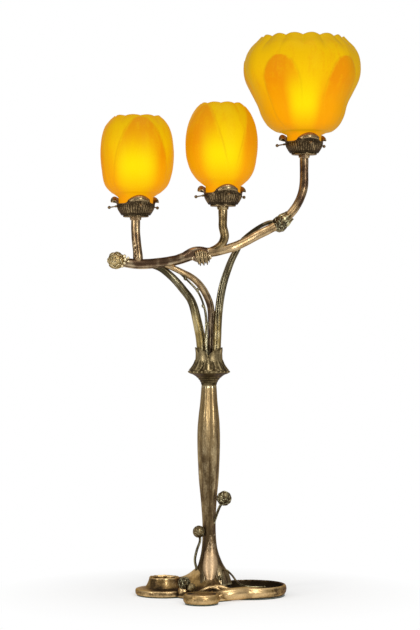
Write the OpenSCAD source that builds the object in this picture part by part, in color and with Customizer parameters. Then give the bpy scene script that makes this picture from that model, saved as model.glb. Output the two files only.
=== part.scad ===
// Tulip shade table lamp: a bronze plant whose bowed arm carries three lit flower shades.
// Millimetres. The origin is on the column's axis at the underside, +Z is up, the arm runs along X
// and the front of the lamp faces -Y.

/* [Base] */
// Thickness of the felt under the whole base
felt_t = 1.2; // [1:0.1:2]
// Radius of the left two-tier pad
left_pad_r = 40; // [37:1:42]
// Height of the left pad's raised bowl
left_pad_h = 26; // [26:1:30]
// Outer radius of the right dish
dish_r = 52; // [50:1:54]
// Height of the right dish's rim
dish_h = 16; // [14:0.5:18]
// Radius of the front pad
front_pad_r = 25; // [24:1:27]
// Height of the front pad
front_pad_h = 14.5; // [12:0.5:16]
// Height of the root's seat under the column
seat_h = 14; // [13.5:0.5:15]

/* [Column] */
// Height of the column's top, where the leaf collar sits
column_top = 291; // [285:1:297]
// Radius of the tie rod, a hollow threaded tube
rod_r = 5; // [4.8:0.1:5]
// Radius of the leaf collar's beaded rim
collar_r = 29; // [27:1:31]
// Radius of the cup inside the leaf collar
cup_r = 15.6; // [15.4:0.1:15.8]

/* [Arm and stems] */
// Radius of the main arm's left half
arm_r = 7; // [6.5:0.1:7.5]
// Radius of the arm's right half and of the right shade's stem
right_arm_r = 6.2; // [5.8:0.1:6.6]
// Radius of the left and the middle shade's stem
stem_r = 6.3; // [5.9:0.1:6.6]
// Radius of a stem's flared top, under its shade holder
ferrule_r = 8; // [7.5:0.1:8.5]

/* [Places of the lights] */
// Left light's place along X
left_x = -102; // [-104:1:-100]
// Left holder's underside above the table
left_z = 527; // [524:1:530]
// Middle light's place along X
middle_x = 19.5; // [18:0.5:21]
// Middle holder's underside above the table
middle_z = 541; // [539:1:544]
// Right light's place along X
right_x = 134; // [133:0.5:136]
// Right holder's underside above the table
right_z = 616; // [613:1:619]

/* [Shades] */
// Radius of the left shade, a closed bud
left_shade_r = 51.5; // [49:0.5:52]
// Top of the left shade above its holder's underside
left_shade_h = 140; // [134:1:142]
// Radius of the middle shade, a closed bud
middle_shade_r = 50.4; // [48:0.1:51]
// Top of the middle shade above its holder's underside
middle_shade_h = 142; // [136:1:144]
// Radius of the right shade, an open flower
right_shade_r = 82.5; // [79:0.5:83]
// Top of the right shade above its holder's underside
right_shade_h = 165; // [159:1:167]
// How far the left shade's body leans to the right of its neck
left_shade_lean = 2; // [0:0.5:3]
// How far the middle and the right shade's bodies lean to the left of their necks
other_shades_lean = 2.5; // [0:0.5:3]
// Thickness of the shades' glass
glass_t = 3; // [2.4:0.1:3.2]
// Radius of the ground neck that stands in the holder
neck_r = 24; // [23.6:0.1:24.1]

/* [Holders and lamps] */
// Radius of a holder's cup
holder_r = 26.4; // [26.2:0.1:26.8]
// Reach of a holder's curled petals from its axis
petal_reach = 36.8; // [36:0.1:38]
// Radius of the threaded nipple that carries the holder and the lampholder
nipple_r = 5; // [4.8:0.1:5]
// Radius of a thumbscrew's thread
screw_r = 1.5; // [1.3:0.1:1.6]
// How far a thumbscrew's ball stands from the holder's axis
screw_reach = 40; // [38.5:0.5:41]
// Radius of the bulb's glass
bulb_r = 17.5; // [16:0.5:18]

/* [Hidden] */
$fn = 48;
eps = 0.01;
// Clearance of a part in its hole, and the gap left between parts that move apart
fit = 0.1;
gap = 0.3;

// Each light's foot: the middle of its holder's underside. The arm bows forward between them.
left_light = [left_x, -12, left_z];
middle_light = [middle_x, -30, middle_z];
right_light = [right_x, 18, right_z];
lights = [left_light, middle_light, right_light];

// Middles of the base's three lobes
left_pad_at = [-63, -10];
dish_at = [56, -15];
front_pad_at = [-10, -104];
// Radius of the left pad's bowl
bowl_r = 0.57 * left_pad_r;

// The root's reach from the column's axis, at equal steps round from +X
root_reach = [34, 33, 35, 36, 38, 46, 60, 62, 66, 88, 74, 48];
// The root's ridges: direction, where each starts and ends, its height there, and its width
root_ridges = [
    [187, 12, 46, 23, 16, 10],
    [30, 12, 46, 14, 5, 11],
    [264, 12, 84, 8, 4, 14],
    [288, 12, 62, 13, 7, 13],
    [90, 12, 34, 6, 7, 12]
];
root_edge_h = 4;
cavity_r = 15;
cavity_top = 10;
plate_r = 22;
plate_t = 1.6;
plate_screw_at = 18.5;
plate_screw_r = 1.5;
inlet_r = 3.2;
inlet_z = 7.6;

// The column: place in X, height and radius of each section, with six soft ridges
column_ridges = 6;
column_ridge = 0.05;
column_line = [
    [3, 0, seat_h, 27.5], [3.6, 0, 29, 22.5], [2, 0, 45, 15.2], [0.6, 0, 67, 9.9], [0, 0, 98, 8.7],
    [-0.3, 0, 129, 10.3], [-0.4, 0, 161, 13], [-0.4, 0, 206, 14.8], [-0.4, 0, 237, 14.4],
    [-0.2, 0, 269, 11.4], [0, 0, column_top, 9.9]
];
cup_floor = column_top + 15;
collar_top = column_top + 54;
plug_bottom = cup_floor + 10;
plug_t = 10;
foot_z = plug_bottom + 2;
nut_r = 9;
nut_t = 5;
washer_r = 9.6;
washer_t = 1;

// Centre lines of the stems: place and radius of each point
left_branch_line = [
    [-9.4, -1, foot_z, 5.7], [-11.5, -2, 352, 6], [-17, -4, 385, 6.2], [-24, -6, 409, 6.1],
    [-35, -9, 425, 6], [-50, -11, 442, 5.7], [-66, -12, 455, 5.2], [-80, -12, 460, 4.2]
];
middle_branch_line = [
    [3, 7, foot_z, 4.5], [4.8, 7, 345, 4.5], [4, 5, 375, 4.7], [2.4, 3, 401, 5], [-4, -1, 419, 5.1],
    [-13, -5, 433, 5.1], [-24, -9, 443, 4.9], [-37, -13, 450, 4.6], [-51, -15.5, 456.5, 4.2],
    [-64, -15, 461, 3.4]
];
right_branch_line = [
    [9.9, -2, foot_z, 5.3], [11.4, -2, 353, 5.3], [13.6, -1, 395, 5.3], [19, 1, 430, 5.4],
    [29, 3, 461, 5.2], [38, 4, 480, 4.9], [48, 4, 496, 3.9], [67, 1, 512, 3.1], [85, -2, 520.5, 3],
    [97, -3, 519, 3]
];
twig_line = [
    [-1.6, -8, foot_z, 1.7], [-5, -9, 352, 1.7], [-4.4, -10, 388, 1.5], [-8.6, -11, 408, 1.5],
    [-17, -13, 425, 1.5], [-32, -15, 441, 1.5], [-47, -16.4, 454, 1.4], [-60, -15, 462, 1.4]
];
arm_line = [
    [-125, -12, 465, 5.4], [-115, -12, 463, 0.92 * arm_r], [-94, -12, 461.3, arm_r],
    [-68, -14, 463, arm_r], [-47, -17, 466.3, 1.02 * arm_r], [-30, -20, 471.8, 1.05 * arm_r],
    [-16, -23, 476.8, 1.05 * arm_r], [-2, -25.5, 477, 0.97 * arm_r], [9, -27, 478.3, 0.94 * arm_r],
    [22, -28, 481.3, 1.02 * right_arm_r], [37, -26, 486, right_arm_r], [52, -22, 493, right_arm_r],
    [66, -17, 500.8, right_arm_r], [86, -9, 511, right_arm_r], [100, -3.5, 519, right_arm_r],
    [111, 2.5, 529, 0.97 * right_arm_r], [121, 8, 541, 0.97 * right_arm_r],
    [129, 13.5, 556, 0.98 * right_arm_r], [133.5, 17, 573, right_arm_r],
    below(right_light, 19, right_arm_r), below(right_light, 7, right_arm_r)
];
stem_depth = 16;
ferrule_h = 4;

// Shades: height and radius along the glass, as parts of the shade's own height and radius
left_profile = [
    [0.228, 0.60], [0.252, 0.70], [0.32, 0.855], [0.43, 0.945], [0.60, 1], [0.76, 0.985],
    [0.88, 0.91], [0.955, 0.79], [1, 0.66]
];
middle_profile = [
    [0.228, 0.61], [0.27, 0.735], [0.36, 0.885], [0.49, 0.975], [0.63, 1], [0.77, 0.95],
    [0.89, 0.83], [0.965, 0.70], [1, 0.60]
];
right_profile = [
    [0.192, 0.40], [0.203, 0.50], [0.25, 0.615], [0.33, 0.71], [0.43, 0.775], [0.54, 0.885],
    [0.64, 0.975], [0.73, 1], [0.83, 0.975], [0.91, 0.895], [0.965, 0.79], [1, 0.725]
];
shade_sides = 40;
shade_lobes = 8;
neck_bottom = 9.8;
neck_top = 28.4;

// Holders, in the height above their underside
ledge_z = 9.5;
ledge_r = 20.5;
cup_wall = 1.7;
floor_z = 4;
valley_z = 20.4;
valley_r = 15.5;
petal_angles = [-78, 42, 162];
// A thumbscrew crosses the cup's wall at this height and leans down outwards by this angle
screw_z = 16;
screw_tilt = 8;
screw_start = (neck_r + gap + screw_r * sin(screw_tilt)) / cos(screw_tilt);
// Half the angle between two petals, at their tips
petal_gap = 41;

// Lampholders
socket_r = 14;
socket_bottom = 7.6;
socket_top = 37;
socket_wall = 1;
nipple_bore_r = 3.6;
nipple_top = 11;
cap_r = 6.9;
cap_bore_r = 7.4;
cap_bottom = 17.4;
cap_top = 38;
contact_z = 14.4;
bulb_mid = 72;

function lerp(a, b, t) = a + (b - a) * t;
function unit(v) = v / norm(v);
function place(p) = [p[0], p[1], p[2]];
// Point of a stem's line at the distance d under a light's foot, with the radius r
function below(light, d, r) = concat(light - [0, 0, d], [r]);

// Catmull-Rom curve between b and c
function blend(a, b, c, d, t) =
    0.5 * (2 * b + (c - a) * t + (2 * a - 5 * b + 4 * c - d) * t * t
        + (3 * b - a - 3 * c + d) * t * t * t);

// Smooth line through the points p, with the given steps to each span
function smooth(p, steps) = [
    for (i = [0:len(p) - 2], k = [0:steps - 1])
        blend(p[max(i - 1, 0)], p[i], p[i + 1], p[min(i + 2, len(p) - 1)], k / steps),
    p[len(p) - 1]
];

// Value of a closed list of equally spaced values at the angle a
function around(values, a) =
    let (n = len(values), at = (a + 360) % 360 * n / 360, i = floor(at))
    blend(values[(i + n - 1) % n], values[i % n], values[(i + 1) % n], values[(i + 2) % n], at - i);

// Faces of a skin of rows, each a closed ring of the given sides, with a middle point to each end
function skin_faces(rows, sides) = concat(
    [for (i = [0:rows - 2], j = [0:sides - 1])
        let (a = i * sides + j, b = i * sides + (j + 1) % sides)
        each [[a, b, b + sides], [a, b + sides, a + sides]]],
    [for (j = [0:sides - 1]) [rows * sides, (j + 1) % sides, j]],
    [for (j = [0:sides - 1])
        let (last = (rows - 1) * sides) [rows * sides + 1, last + j, last + (j + 1) % sides]]
);

// Ring of a stem's section round the point p, square to the direction t
function ring(p, t, sides, ridges, ridge) =
    let (u = unit(cross(t, [0, 1, 0])), v = cross(u, t))
    [for (j = [0:sides - 1])
        let (a = 360 * j / sides)
        place(p) + p[3] * (1 + ridge * cos(ridges * a)) * (cos(a) * u + sin(a) * v)];

// Direction of the line q at its point i
function heading(q, i) = unit(place(q[min(i + 1, len(q) - 1)]) - place(q[max(i - 1, 0)]));

// Solid stem along the line q of places and radii. An upright stem keeps its sections level.
module stem(q, sides = 12, ridges = 3, ridge = 0.06, upright = false) {
    n = len(q);
    rings = [for (i = [0:n - 1])
        each ring(q[i], upright ? [0, 0, 1] : heading(q, i), sides, ridges, ridge)];
    polyhedron(concat(rings, [place(q[0]), place(q[n - 1])]), skin_faces(n, sides), convexity = 8);
}

// Straight top of a shade's stem, with its ferrule and the bore that takes the nipple
module stem_with_bore(q, light) {
    difference() {
        stem(concat(q, [
            concat(light - [0, 0, ferrule_h], [ferrule_r * 0.92]), concat(light, [ferrule_r])
        ]));
        translate(light - [0, 0, stem_depth]) cylinder(r = nipple_r, h = stem_depth + 1);
    }
}

module at_light(i) {
    translate(lights[i]) children();
}

// Turned solid on the Z axis from a half outline of radius and height
module turned(outline) {
    rotate_extrude($fn = 72) polygon(outline);
}

// Disc outlines of the base's lobes, drawn in by d
module lobe_outlines(d) {
    translate(left_pad_at) circle(r = left_pad_r - d);
    translate(dish_at) circle(r = dish_r - d);
    translate(front_pad_at) circle(r = front_pad_r - d);
}

// The root's underside outline, drawn in by d
function root_outline(d) = [
    for (k = [0:59]) let (a = 6 * k) (around(root_reach, a) - d) * [cos(a), sin(a)]
];

// Height that one ridge adds to the root at the place x, y
function ridge_height(r, x, y) =
    let (along = x * cos(r[0]) + y * sin(r[0]), across = y * cos(r[0]) - x * sin(r[0]),
         s = min(max((along - r[1]) / (r[2] - r[1]), 0), 1))
    along < 0 ? 0 : lerp(r[3], r[4], s) * min(along / r[1], 1) * exp(-pow(across / r[5], 2));

// Height of the root's top at the angle a and the distance d from the axis
function root_height(a, d) =
    let (x = d * cos(a), y = d * sin(a))
    6.5 + (seat_h - 6.5) * exp(-pow(max(d - 16, 0) / 12, 2))
        + ridge_height(root_ridges[0], x, y) + ridge_height(root_ridges[1], x, y)
        + ridge_height(root_ridges[2], x, y) + ridge_height(root_ridges[3], x, y)
        + ridge_height(root_ridges[4], x, y);

// The root's skin, from the middle of its top out to the edge and back under it
module root_skin() {
    sides = 60;
    steps = 7;
    function at(a, d, z) = [d * cos(-a), d * sin(-a), z];
    function turn(j) = 360 * j / sides;
    top = [for (k = [1:steps], j = [0:sides - 1])
        let (reach = around(root_reach, -turn(j)), d = lerp(6, reach - 1.5, pow((k - 1) / (steps - 1), 0.9)))
        at(turn(j), d, root_height(-turn(j), d))];
    edge = [for (j = [0:sides - 1]) at(turn(j), around(root_reach, -turn(j)), root_edge_h)];
    under = [for (j = [0:sides - 1]) at(turn(j), around(root_reach, -turn(j)) - 0.5, felt_t)];
    rows = steps + 2;
    polyhedron(
        concat(under, edge, [for (k = [steps - 1:-1:0], j = [0:sides - 1]) top[k * sides + j]],
            [[0, 0, felt_t], [0, 0, seat_h]]),
        skin_faces(rows, sides), convexity = 6);
}

module felt_pad() {
    color("#3b4a36") linear_extrude(felt_t) {
        lobe_outlines(2.5);
        polygon(root_outline(2.5));
    }
}

module base_root() {
    color("#8a6b3c") difference() {
        root_skin();
        translate([0, 0, -eps]) cylinder(r = cavity_r, h = cavity_top + eps);
        translate([0, 0, -eps]) cylinder(r = plate_r, h = felt_t + plate_t + eps);
        cylinder(r = rod_r + fit, h = seat_h + 20);
        for (a = [30, 150, 270]) rotate([0, 0, a]) translate([plate_screw_at, 0, 0])
            cylinder(r = plate_screw_r, h = 9);
        translate([0, cavity_r - 2, inlet_z]) rotate([-90, 0, 0])
            cylinder(r = inlet_r + 1.4, h = 40);
        translate([left_pad_at[0], left_pad_at[1], left_pad_h - 8]) cylinder(r = bowl_r - 4, h = 20);
    }
}

module base_left_pad() {
    color("#86673a") translate(concat(left_pad_at, [0])) turned([
        [0, felt_t], [left_pad_r - 2, felt_t], [left_pad_r, 3.2], [left_pad_r, 8.4],
        [left_pad_r - 1, 9.4], [left_pad_r - 6, 10], [bowl_r + 5, 11.2], [bowl_r + 2, 14],
        [bowl_r - 0.4, 19], [bowl_r - 1.8, left_pad_h - 2.6], [bowl_r - 1.8, left_pad_h - 0.6],
        [bowl_r - 2.4, left_pad_h], [bowl_r - 3.8, left_pad_h - 0.4],
        [bowl_r - 4.4, left_pad_h - 2.4], [bowl_r - 5.5, left_pad_h - 7], [0, left_pad_h - 8]
    ]);
}

// The dish's rim runs into the root, short of the screws in its underside
module base_dish() {
    color("#8f6f40") difference() {
        translate(concat(dish_at, [0])) turned([
            [0, felt_t], [dish_r - 5, felt_t], [dish_r - 1.6, 4], [dish_r, 8], [dish_r - 1, dish_h - 3],
            [dish_r - 4, dish_h - 0.4], [dish_r - 6, dish_h], [dish_r - 8, dish_h - 1.4],
            [dish_r - 9, dish_h - 5], [dish_r - 9.6, 7], [dish_r - 12, 5.4], [0, 5.2]
        ]);
        cylinder(r = plate_r + 2, h = 20);
    }
}

module base_front_pad() {
    color("#9c7a42") translate(concat(front_pad_at, [0])) turned([
        [0, felt_t], [front_pad_r - 3, felt_t], [front_pad_r - 0.6, 4], [front_pad_r, 7.2],
        [front_pad_r - 0.8, front_pad_h - 3.4], [front_pad_r - 2.6, front_pad_h - 0.4],
        [front_pad_r - 4, front_pad_h], [front_pad_r - 6.4, front_pad_h - 1.6], [0, front_pad_h - 2.4]
    ]);
}

// Pod lying on the base in front of the left ridge, with its smooth tip towards the front
module base_bud() {
    color("#6f5632") {
        translate([-34, -46, 21]) sphere(r = 9);
        translate([-24, -53, 16]) sphere(r = 6);
        translate([-36, -42, 8]) cylinder(r1 = 9, r2 = 6, h = 10);
    }
}

module base_tendril() {
    color("#7d6138") {
        stem(smooth([
            [17, -9, 34, 1.6], [24, -13, 35, 1.5], [32, -22, 29, 1.4], [38, -35, 22.4, 1.4],
            [44.5, -48, 19, 1.4], [54, -58, 17.6, 1.3], [66, -58, 17.2, 1.2], [77, -53.6, 17, 1.1]
        ], 3), sides = 8, ridge = 0);
        translate([15, -19, 24]) sphere(r = 4.6);
    }
}

module cover_plate() {
    color("#b08d57") difference() {
        translate([0, 0, felt_t]) cylinder(r = plate_r - fit, h = plate_t);
        for (a = [30, 150, 270]) rotate([0, 0, a]) translate([plate_screw_at, 0, 0])
            cylinder(r = plate_screw_r + 1.4, h = 9);
    }
}

module cover_screws() {
    color("#c0c0c0") for (a = [30, 150, 270]) rotate([0, 0, a]) translate([plate_screw_at, 0, felt_t]) {
        cylinder(r = plate_screw_r + 1.3, h = plate_t);
        translate([0, 0, plate_t]) cylinder(r = plate_screw_r - 0.05, h = 5.5);
    }
}

// Flanged bush in the back of the root, for the cord
module cord_bush() {
    color("#2b2b2b") translate([0, 0, inlet_z]) rotate([-90, 0, 0]) difference() {
        union() {
            translate([0, 0, cavity_r + 1]) cylinder(r = inlet_r + 1.35, h = 22);
            translate([0, 0, 36.5]) cylinder(r = inlet_r + 2.6, h = 2);
        }
        cylinder(r = inlet_r, h = 50);
    }
}

module column() {
    color("#8b6c40") difference() {
        stem(smooth(column_line, 2), sides = 36, ridges = column_ridges, ridge = column_ridge,
            upright = true);
        cylinder(r = rod_r + fit, h = column_top + 1);
    }
}

// Round pod of the radius r with a small tip, on its stalk's end, tilted about the Y axis
module pod(r, tilt) {
    rotate([0, tilt, 0]) turned([
        [0, -r], [0.36 * r, -0.93 * r], [0.7 * r, -0.71 * r], [0.93 * r, -0.37 * r], [r, 0],
        [0.93 * r, 0.37 * r], [0.71 * r, 0.7 * r], [0.38 * r, 0.91 * r], [0.1 * r, 0.99 * r], [0, r]
    ]);
}

module column_pod() {
    color("#7a5d35") {
        stem(smooth([[7, -3, 100, 1.9], [9.5, -5, 108, 1.9], [14.5, -7, 122, 1.9], [19.5, -8, 130, 2.1]], 2),
            sides = 8, ridge = 0);
        translate([21.2, -8, 134.6]) pod(10.9, 20);
    }
}

module column_bud() {
    color("#765a34") {
        stem(smooth([
            [-17, -5, 22, 2], [-17.5, -5.5, 36, 1.8], [-19.8, -6, 48, 1.8], [-17, -6, 62, 1.8],
            [-12.5, -7, 75, 1.8], [-13.5, -7, 84, 2]
        ], 2), sides = 8, ridge = 0);
        translate([-14.2, -7, 88]) pod(8.9, -15);
    }
}

module tie_rod() {
    color("#b9a36b") difference() {
        translate([0, 0, 3.4]) cylinder(r = rod_r, h = plug_bottom - 5);
        cylinder(r = rod_r - 1.4, h = plug_bottom + 9);
    }
}

// Washer and hexagon nut at each end of the tie rod
module tie_rod_nuts() {
    color("#a89664") for (z = [cavity_top - washer_t - nut_t, cup_floor])
        translate([0, 0, z]) difference() {
            union() {
                translate([0, 0, z < cup_floor ? nut_t : 0]) cylinder(r = washer_r, h = washer_t);
                translate([0, 0, z < cup_floor ? 0 : washer_t]) cylinder(r = nut_r, h = nut_t, $fn = 6);
            }
            translate([0, 0, -1]) cylinder(r = rod_r, h = 9);
        }
}

module leaf_collar() {
    top = collar_top;
    rim = column_top + 20;
    color("#6f5733") difference() {
        turned([
            [rod_r + fit, column_top], [10.2, column_top], [12, column_top + 6],
            [17, column_top + 13], [collar_r - 4, rim - 3], [collar_r, rim - 1], [collar_r, rim + 1.6],
            [collar_r - 3, rim + 4.4], [22.5, rim + 10], [19.4, rim + 15], [18.3, rim + 20],
            [18.6, rim + 27], [20.4, top], [18.6, top], [cup_r + 0.6, top - 7], [cup_r, top - 14],
            [cup_r, cup_floor], [rod_r + fit, cup_floor]
        ]);
        for (a = [-92, 28, 148]) rotate([0, 0, a]) translate([8, 0, rim + 14]) rotate([90, 0, 90])
            linear_extrude(20) polygon([[-0.8, 0], [0.8, 0], [4, 9], [9.5, 22], [-9.5, 22], [-4, 9]]);
    }
}

// Plug that closes the collar's cup and holds the branches' feet
module collar_plug() {
    color("#7c6138") translate([0, 0, plug_bottom]) cylinder(r = cup_r, h = plug_t);
}

module left_branch() {
    color("#8a6a3a") stem(smooth(left_branch_line, 3), sides = 14);
}

module middle_branch() {
    color("#7e5c30") stem(smooth(middle_branch_line, 3));
}

module right_branch() {
    color("#8f7143") stem(smooth(right_branch_line, 3), sides = 14);
}

// Thin twig with small buds in its bends
module thin_twig() {
    line = smooth(twig_line, 3);
    color("#7a6038") {
        stem(line, sides = 8, ridge = 0);
        for (i = [5, 8, 12, 15]) translate(place(line[i])) sphere(r = 2.6, $fn = 24);
    }
}

module main_arm() {
    color("#8d6e42") stem_with_bore(smooth(arm_line, 2), right_light);
}

// Bud on the arm's left end, turned to the front
module arm_end_bud() {
    color("#97784a") translate([-129.5, -13, 466.6]) rotate([90, 0, -12]) turned([
        [0, -11], [6, -10.5], [10.5, -7.5], [13, -2.5], [13.2, 2], [11, 6], [7, 8.4], [5, 11], [0, 12]
    ]);
}

// Knot where the middle stem grows out of the arm, with three claws under it
module middle_knot() {
    color("#7b6036") {
        stem(smooth([
            [-24, -21.3, 473.6, 7.6], [-19, -22.3, 475.4, 9.4], [-13, -23.5, 475.6, 10.8],
            [-6, -24.8, 474.6, 10.6], [-1, -25.6, 475.6, 7.4]
        ], 3), sides = 14, ridges = 7, ridge = 0.06);
        for (x = [-12.5, -7.5, -3]) translate([x, -26, 459]) cylinder(r1 = 0.8, r2 = 4, h = 9);
    }
}

module right_knot() {
    color("#826539") translate([98.6, -4, 517.6]) sphere(r = 11.8);
}

module left_stem() {
    color("#8a6b3e") stem_with_bore(smooth([
        [-98.5, -12, 461, 1.1 * stem_r], [-99.3, -12, 477, 1.06 * stem_r],
        [-101, -12, 494, stem_r], below(left_light, 19, stem_r), below(left_light, 7, stem_r)
    ], 2), left_light);
}

module middle_stem() {
    color("#8a6b3e") stem_with_bore(smooth([
        [2, -26.4, 480.6, 0.6 * stem_r], [11, -27.6, 483.6, 0.8 * stem_r],
        [18.6, -28.8, 490, 0.92 * stem_r], [22, -29.6, 500, 0.95 * stem_r],
        below(middle_light, 28, 0.95 * stem_r), below(middle_light, 19, 0.95 * stem_r),
        below(middle_light, 7, stem_r)
    ], 2), middle_light);
}

// Threaded tubes that hold each holder and lampholder on its stem
module nipples() {
    color("#b9a36b") for (i = [0:2]) at_light(i) difference() {
        translate([0, 0, -stem_depth]) cylinder(r = nipple_r, h = stem_depth + nipple_top);
        translate([0, 0, -stem_depth - 1]) cylinder(r = nipple_bore_r, h = stem_depth + nipple_top + 2);
    }
}

module locknuts() {
    color("#a89664") for (i = [0:2]) at_light(i) difference() {
        translate([0, 0, floor_z]) cylinder(r = nut_r, h = socket_bottom - floor_z, $fn = 6);
        cylinder(r = nipple_r, h = 20);
    }
}

module lamp_contacts() {
    color("#c9a24a") for (i = [0:2]) at_light(i) translate([0, 0, contact_z])
        cylinder(r = 3, h = 1.6);
}

// Line that a thumbscrew runs along: its local +Z points out of the holder and a little down
module on_screw_line(k) {
    translate([0, 0, screw_z + holder_r * tan(screw_tilt)]) rotate([0, 0, petal_angles[k]])
        rotate([0, 90 + screw_tilt, 0]) children();
}

// Space between two petals' tips, from the given radius and height outwards and upwards
module between_petals(r, z) {
    c = cos(petal_gap);
    t = sin(petal_gap);
    translate([0, 0, z]) linear_extrude(20)
        polygon([[r * c, -r * t], [60 * c, -60 * t], [90, 0], [60 * c, 60 * t], [r * c, r * t]]);
}

// Calyx cup with three petals that curl over, a ledge for the glass and three tapped holes
module holder(i) {
    wall_r = holder_r - cup_wall;
    r = petal_reach;
    color("#6b5430") at_light(i) difference() {
        turned([
            [0, 0], [17.8, 0], [17.8, 2.6], [20.4, 3.6], [23.2, 7.2], [25.4, 11], [holder_r, 15],
            [holder_r, 19], [holder_r + 2, 24], [holder_r + 4.4, 27.2], [r - 4, 28],
            [r - 2.2, 26], [r - 1.4, 21.4], [r, 22], [r - 0.8, 27], [r - 3.6, 29.6],
            [r - 7.2, 29], [holder_r + 0.2, 25], [wall_r, 19], [wall_r, ledge_z], [ledge_r, ledge_z],
            [17.4, floor_z], [0, floor_z]
        ]);
        for (a = petal_angles) rotate([0, 0, a + 60]) {
            rotate([90, 0, 90]) linear_extrude(60) translate([0, valley_z + valley_r])
                circle(r = valley_r);
            between_petals(holder_r - 8, 26.2);
            between_petals(holder_r + 7, 18);
        }
        for (k = [0:2]) on_screw_line(k) translate([0, 0, 20])
            cylinder(r = screw_r + 0.05, h = 30);
        translate([0, 0, -1]) cylinder(r = nipple_r, h = 9);
    }
}

// Thumbscrew: a thread, a thin shank and a ball to turn it by
module screw(i, k) {
    color("#8c7449") at_light(i) on_screw_line(k) {
        translate([0, 0, screw_start]) cylinder(r = screw_r, h = 6);
        translate([0, 0, screw_start + 6]) cylinder(r = 0.95, h = screw_reach - screw_start - 7);
        translate([0, 0, screw_reach]) sphere(r = 2.3);
    }
}

module lampholder(i) {
    color("#c2a253") at_light(i) turned([
        [nipple_r, socket_bottom], [socket_r - 2, socket_bottom], [socket_r, socket_bottom + 2],
        [socket_r, socket_top], [socket_r - socket_wall, socket_top],
        [socket_r - socket_wall, socket_bottom + 2], [nipple_r, socket_bottom + 2]
    ]);
}

module insulator(i) {
    outer = socket_r - socket_wall;
    color("#ece6d8") at_light(i) turned([
        [0, nipple_top + 1], [nipple_r + 0.5, nipple_top + 1], [nipple_r + 0.5, socket_bottom + 2],
        [outer, socket_bottom + 2], [outer, socket_top - 1.5], [outer - 1, socket_top - 0.5],
        [cap_bore_r, socket_top - 0.5], [cap_bore_r, contact_z + 1], [3, contact_z + 1],
        [3, contact_z], [0, contact_z]
    ]);
}

module bulb_cap(i) {
    color("#c8b27a") at_light(i) turned([
        [0, cap_bottom - 1], [2.4, cap_bottom - 1], [3, cap_bottom], [cap_r - 1, cap_bottom + 1.6],
        [cap_r, cap_bottom + 2.6], [cap_r, cap_top], [0, cap_top]
    ]);
}

module bulb(i) {
    color("#fff2c0") at_light(i) turned([
        [0, cap_top], [cap_r, cap_top], [cap_r + 1.2, cap_top + 3], [bulb_r * 0.72, bulb_mid - 22],
        [bulb_r * 0.93, bulb_mid - 10], [bulb_r, bulb_mid], [bulb_r * 0.94, bulb_mid + 7],
        [bulb_r * 0.72, bulb_mid + 13], [bulb_r * 0.4, bulb_mid + 16.6], [0, bulb_mid + 18]
    ]);
}

// Point of a profile drawn in by the glass thickness, square to the profile
function drawn_in(p, i) =
    let (d = unit(p[min(i + 1, len(p) - 1)] - p[max(i - 1, 0)]))
    p[i] + glass_t * [d[1], -d[0]];

// Shade's outside as heights and radii: the straight neck, then the smooth body
function shade_outside(profile, r, h) = concat(
    [[neck_bottom, neck_r], [neck_top - 5, neck_r], [neck_top, neck_r + 0.6]],
    smooth([for (p = profile) [p[0] * h, p[1] * r]], 2)
);

// Share of the lobes' full depth at the height z of a shade of height h
function lobing(z, h) = 0.03 * pow(max(z / h - 0.25, 0) / 0.75, 2);

// Thin glass shell: up the outside, over the rim and down the inside, closed into a loop of rows
module shade(i, profile, r, h, lean) {
    outside = shade_outside(profile, r, h);
    body = h - neck_top;
    n = len(outside);
    inside = [for (k = [0:n - 1]) drawn_in(outside, k)];
    loop = concat(outside, [for (k = [n - 1:-1:1]) inside[k]], [[neck_bottom, neck_r - glass_t]]);
    rows = len(loop);
    s = shade_sides;
    points = [for (p = loop, j = [0:s - 1])
        let (a = -360 * j / s, d = p[1] * (1 + lobing(p[0], h) * cos(shade_lobes * a)),
             up = max(p[0] - neck_top, 0) / body)
        [d * cos(a) + lean * min(3 * up, 1), d * sin(a), p[0]]];
    faces = [for (k = [0:rows - 1], j = [0:s - 1])
        let (a = k * s + j, b = k * s + (j + 1) % s, c = (k + 1) % rows * s + (j + 1) % s,
             d = (k + 1) % rows * s + j)
        each [[a, b, c], [a, c, d]]];
    color("#f5a800") at_light(i) polyhedron(points, faces, convexity = 8);
}

felt_pad();
base_root();
base_left_pad();
base_dish();
base_front_pad();
base_bud();
base_tendril();
cover_plate();
cover_screws();
cord_bush();
column();
column_pod();
column_bud();
tie_rod();
tie_rod_nuts();
leaf_collar();
collar_plug();
left_branch();
middle_branch();
right_branch();
thin_twig();
main_arm();
arm_end_bud();
middle_knot();
right_knot();
left_stem();
middle_stem();
nipples();
locknuts();
lamp_contacts();
holder(0);  // left_holder
holder(1);  // middle_holder
holder(2);  // right_holder
lampholder(0);  // left_lampholder
lampholder(1);  // middle_lampholder
lampholder(2);  // right_lampholder
insulator(0);  // left_insulator
insulator(1);  // middle_insulator
insulator(2);  // right_insulator
screw(0, 0);  // left_screw_1
screw(0, 1);  // left_screw_2
screw(0, 2);  // left_screw_3
screw(1, 0);  // middle_screw_1
screw(1, 1);  // middle_screw_2
screw(1, 2);  // middle_screw_3
screw(2, 0);  // right_screw_1
screw(2, 1);  // right_screw_2
screw(2, 2);  // right_screw_3
bulb_cap(0);  // left_bulb_cap
bulb_cap(1);  // middle_bulb_cap
bulb_cap(2);  // right_bulb_cap
bulb(0);  // left_bulb
bulb(1);  // middle_bulb
bulb(2);  // right_bulb
shade(0, left_profile, left_shade_r, left_shade_h, left_shade_lean);  // left_shade
shade(1, middle_profile, middle_shade_r, middle_shade_h, -other_shades_lean);  // middle_shade
shade(2, right_profile, right_shade_r, right_shade_h, -other_shades_lean);  // right_shade
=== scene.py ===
import math

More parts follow.
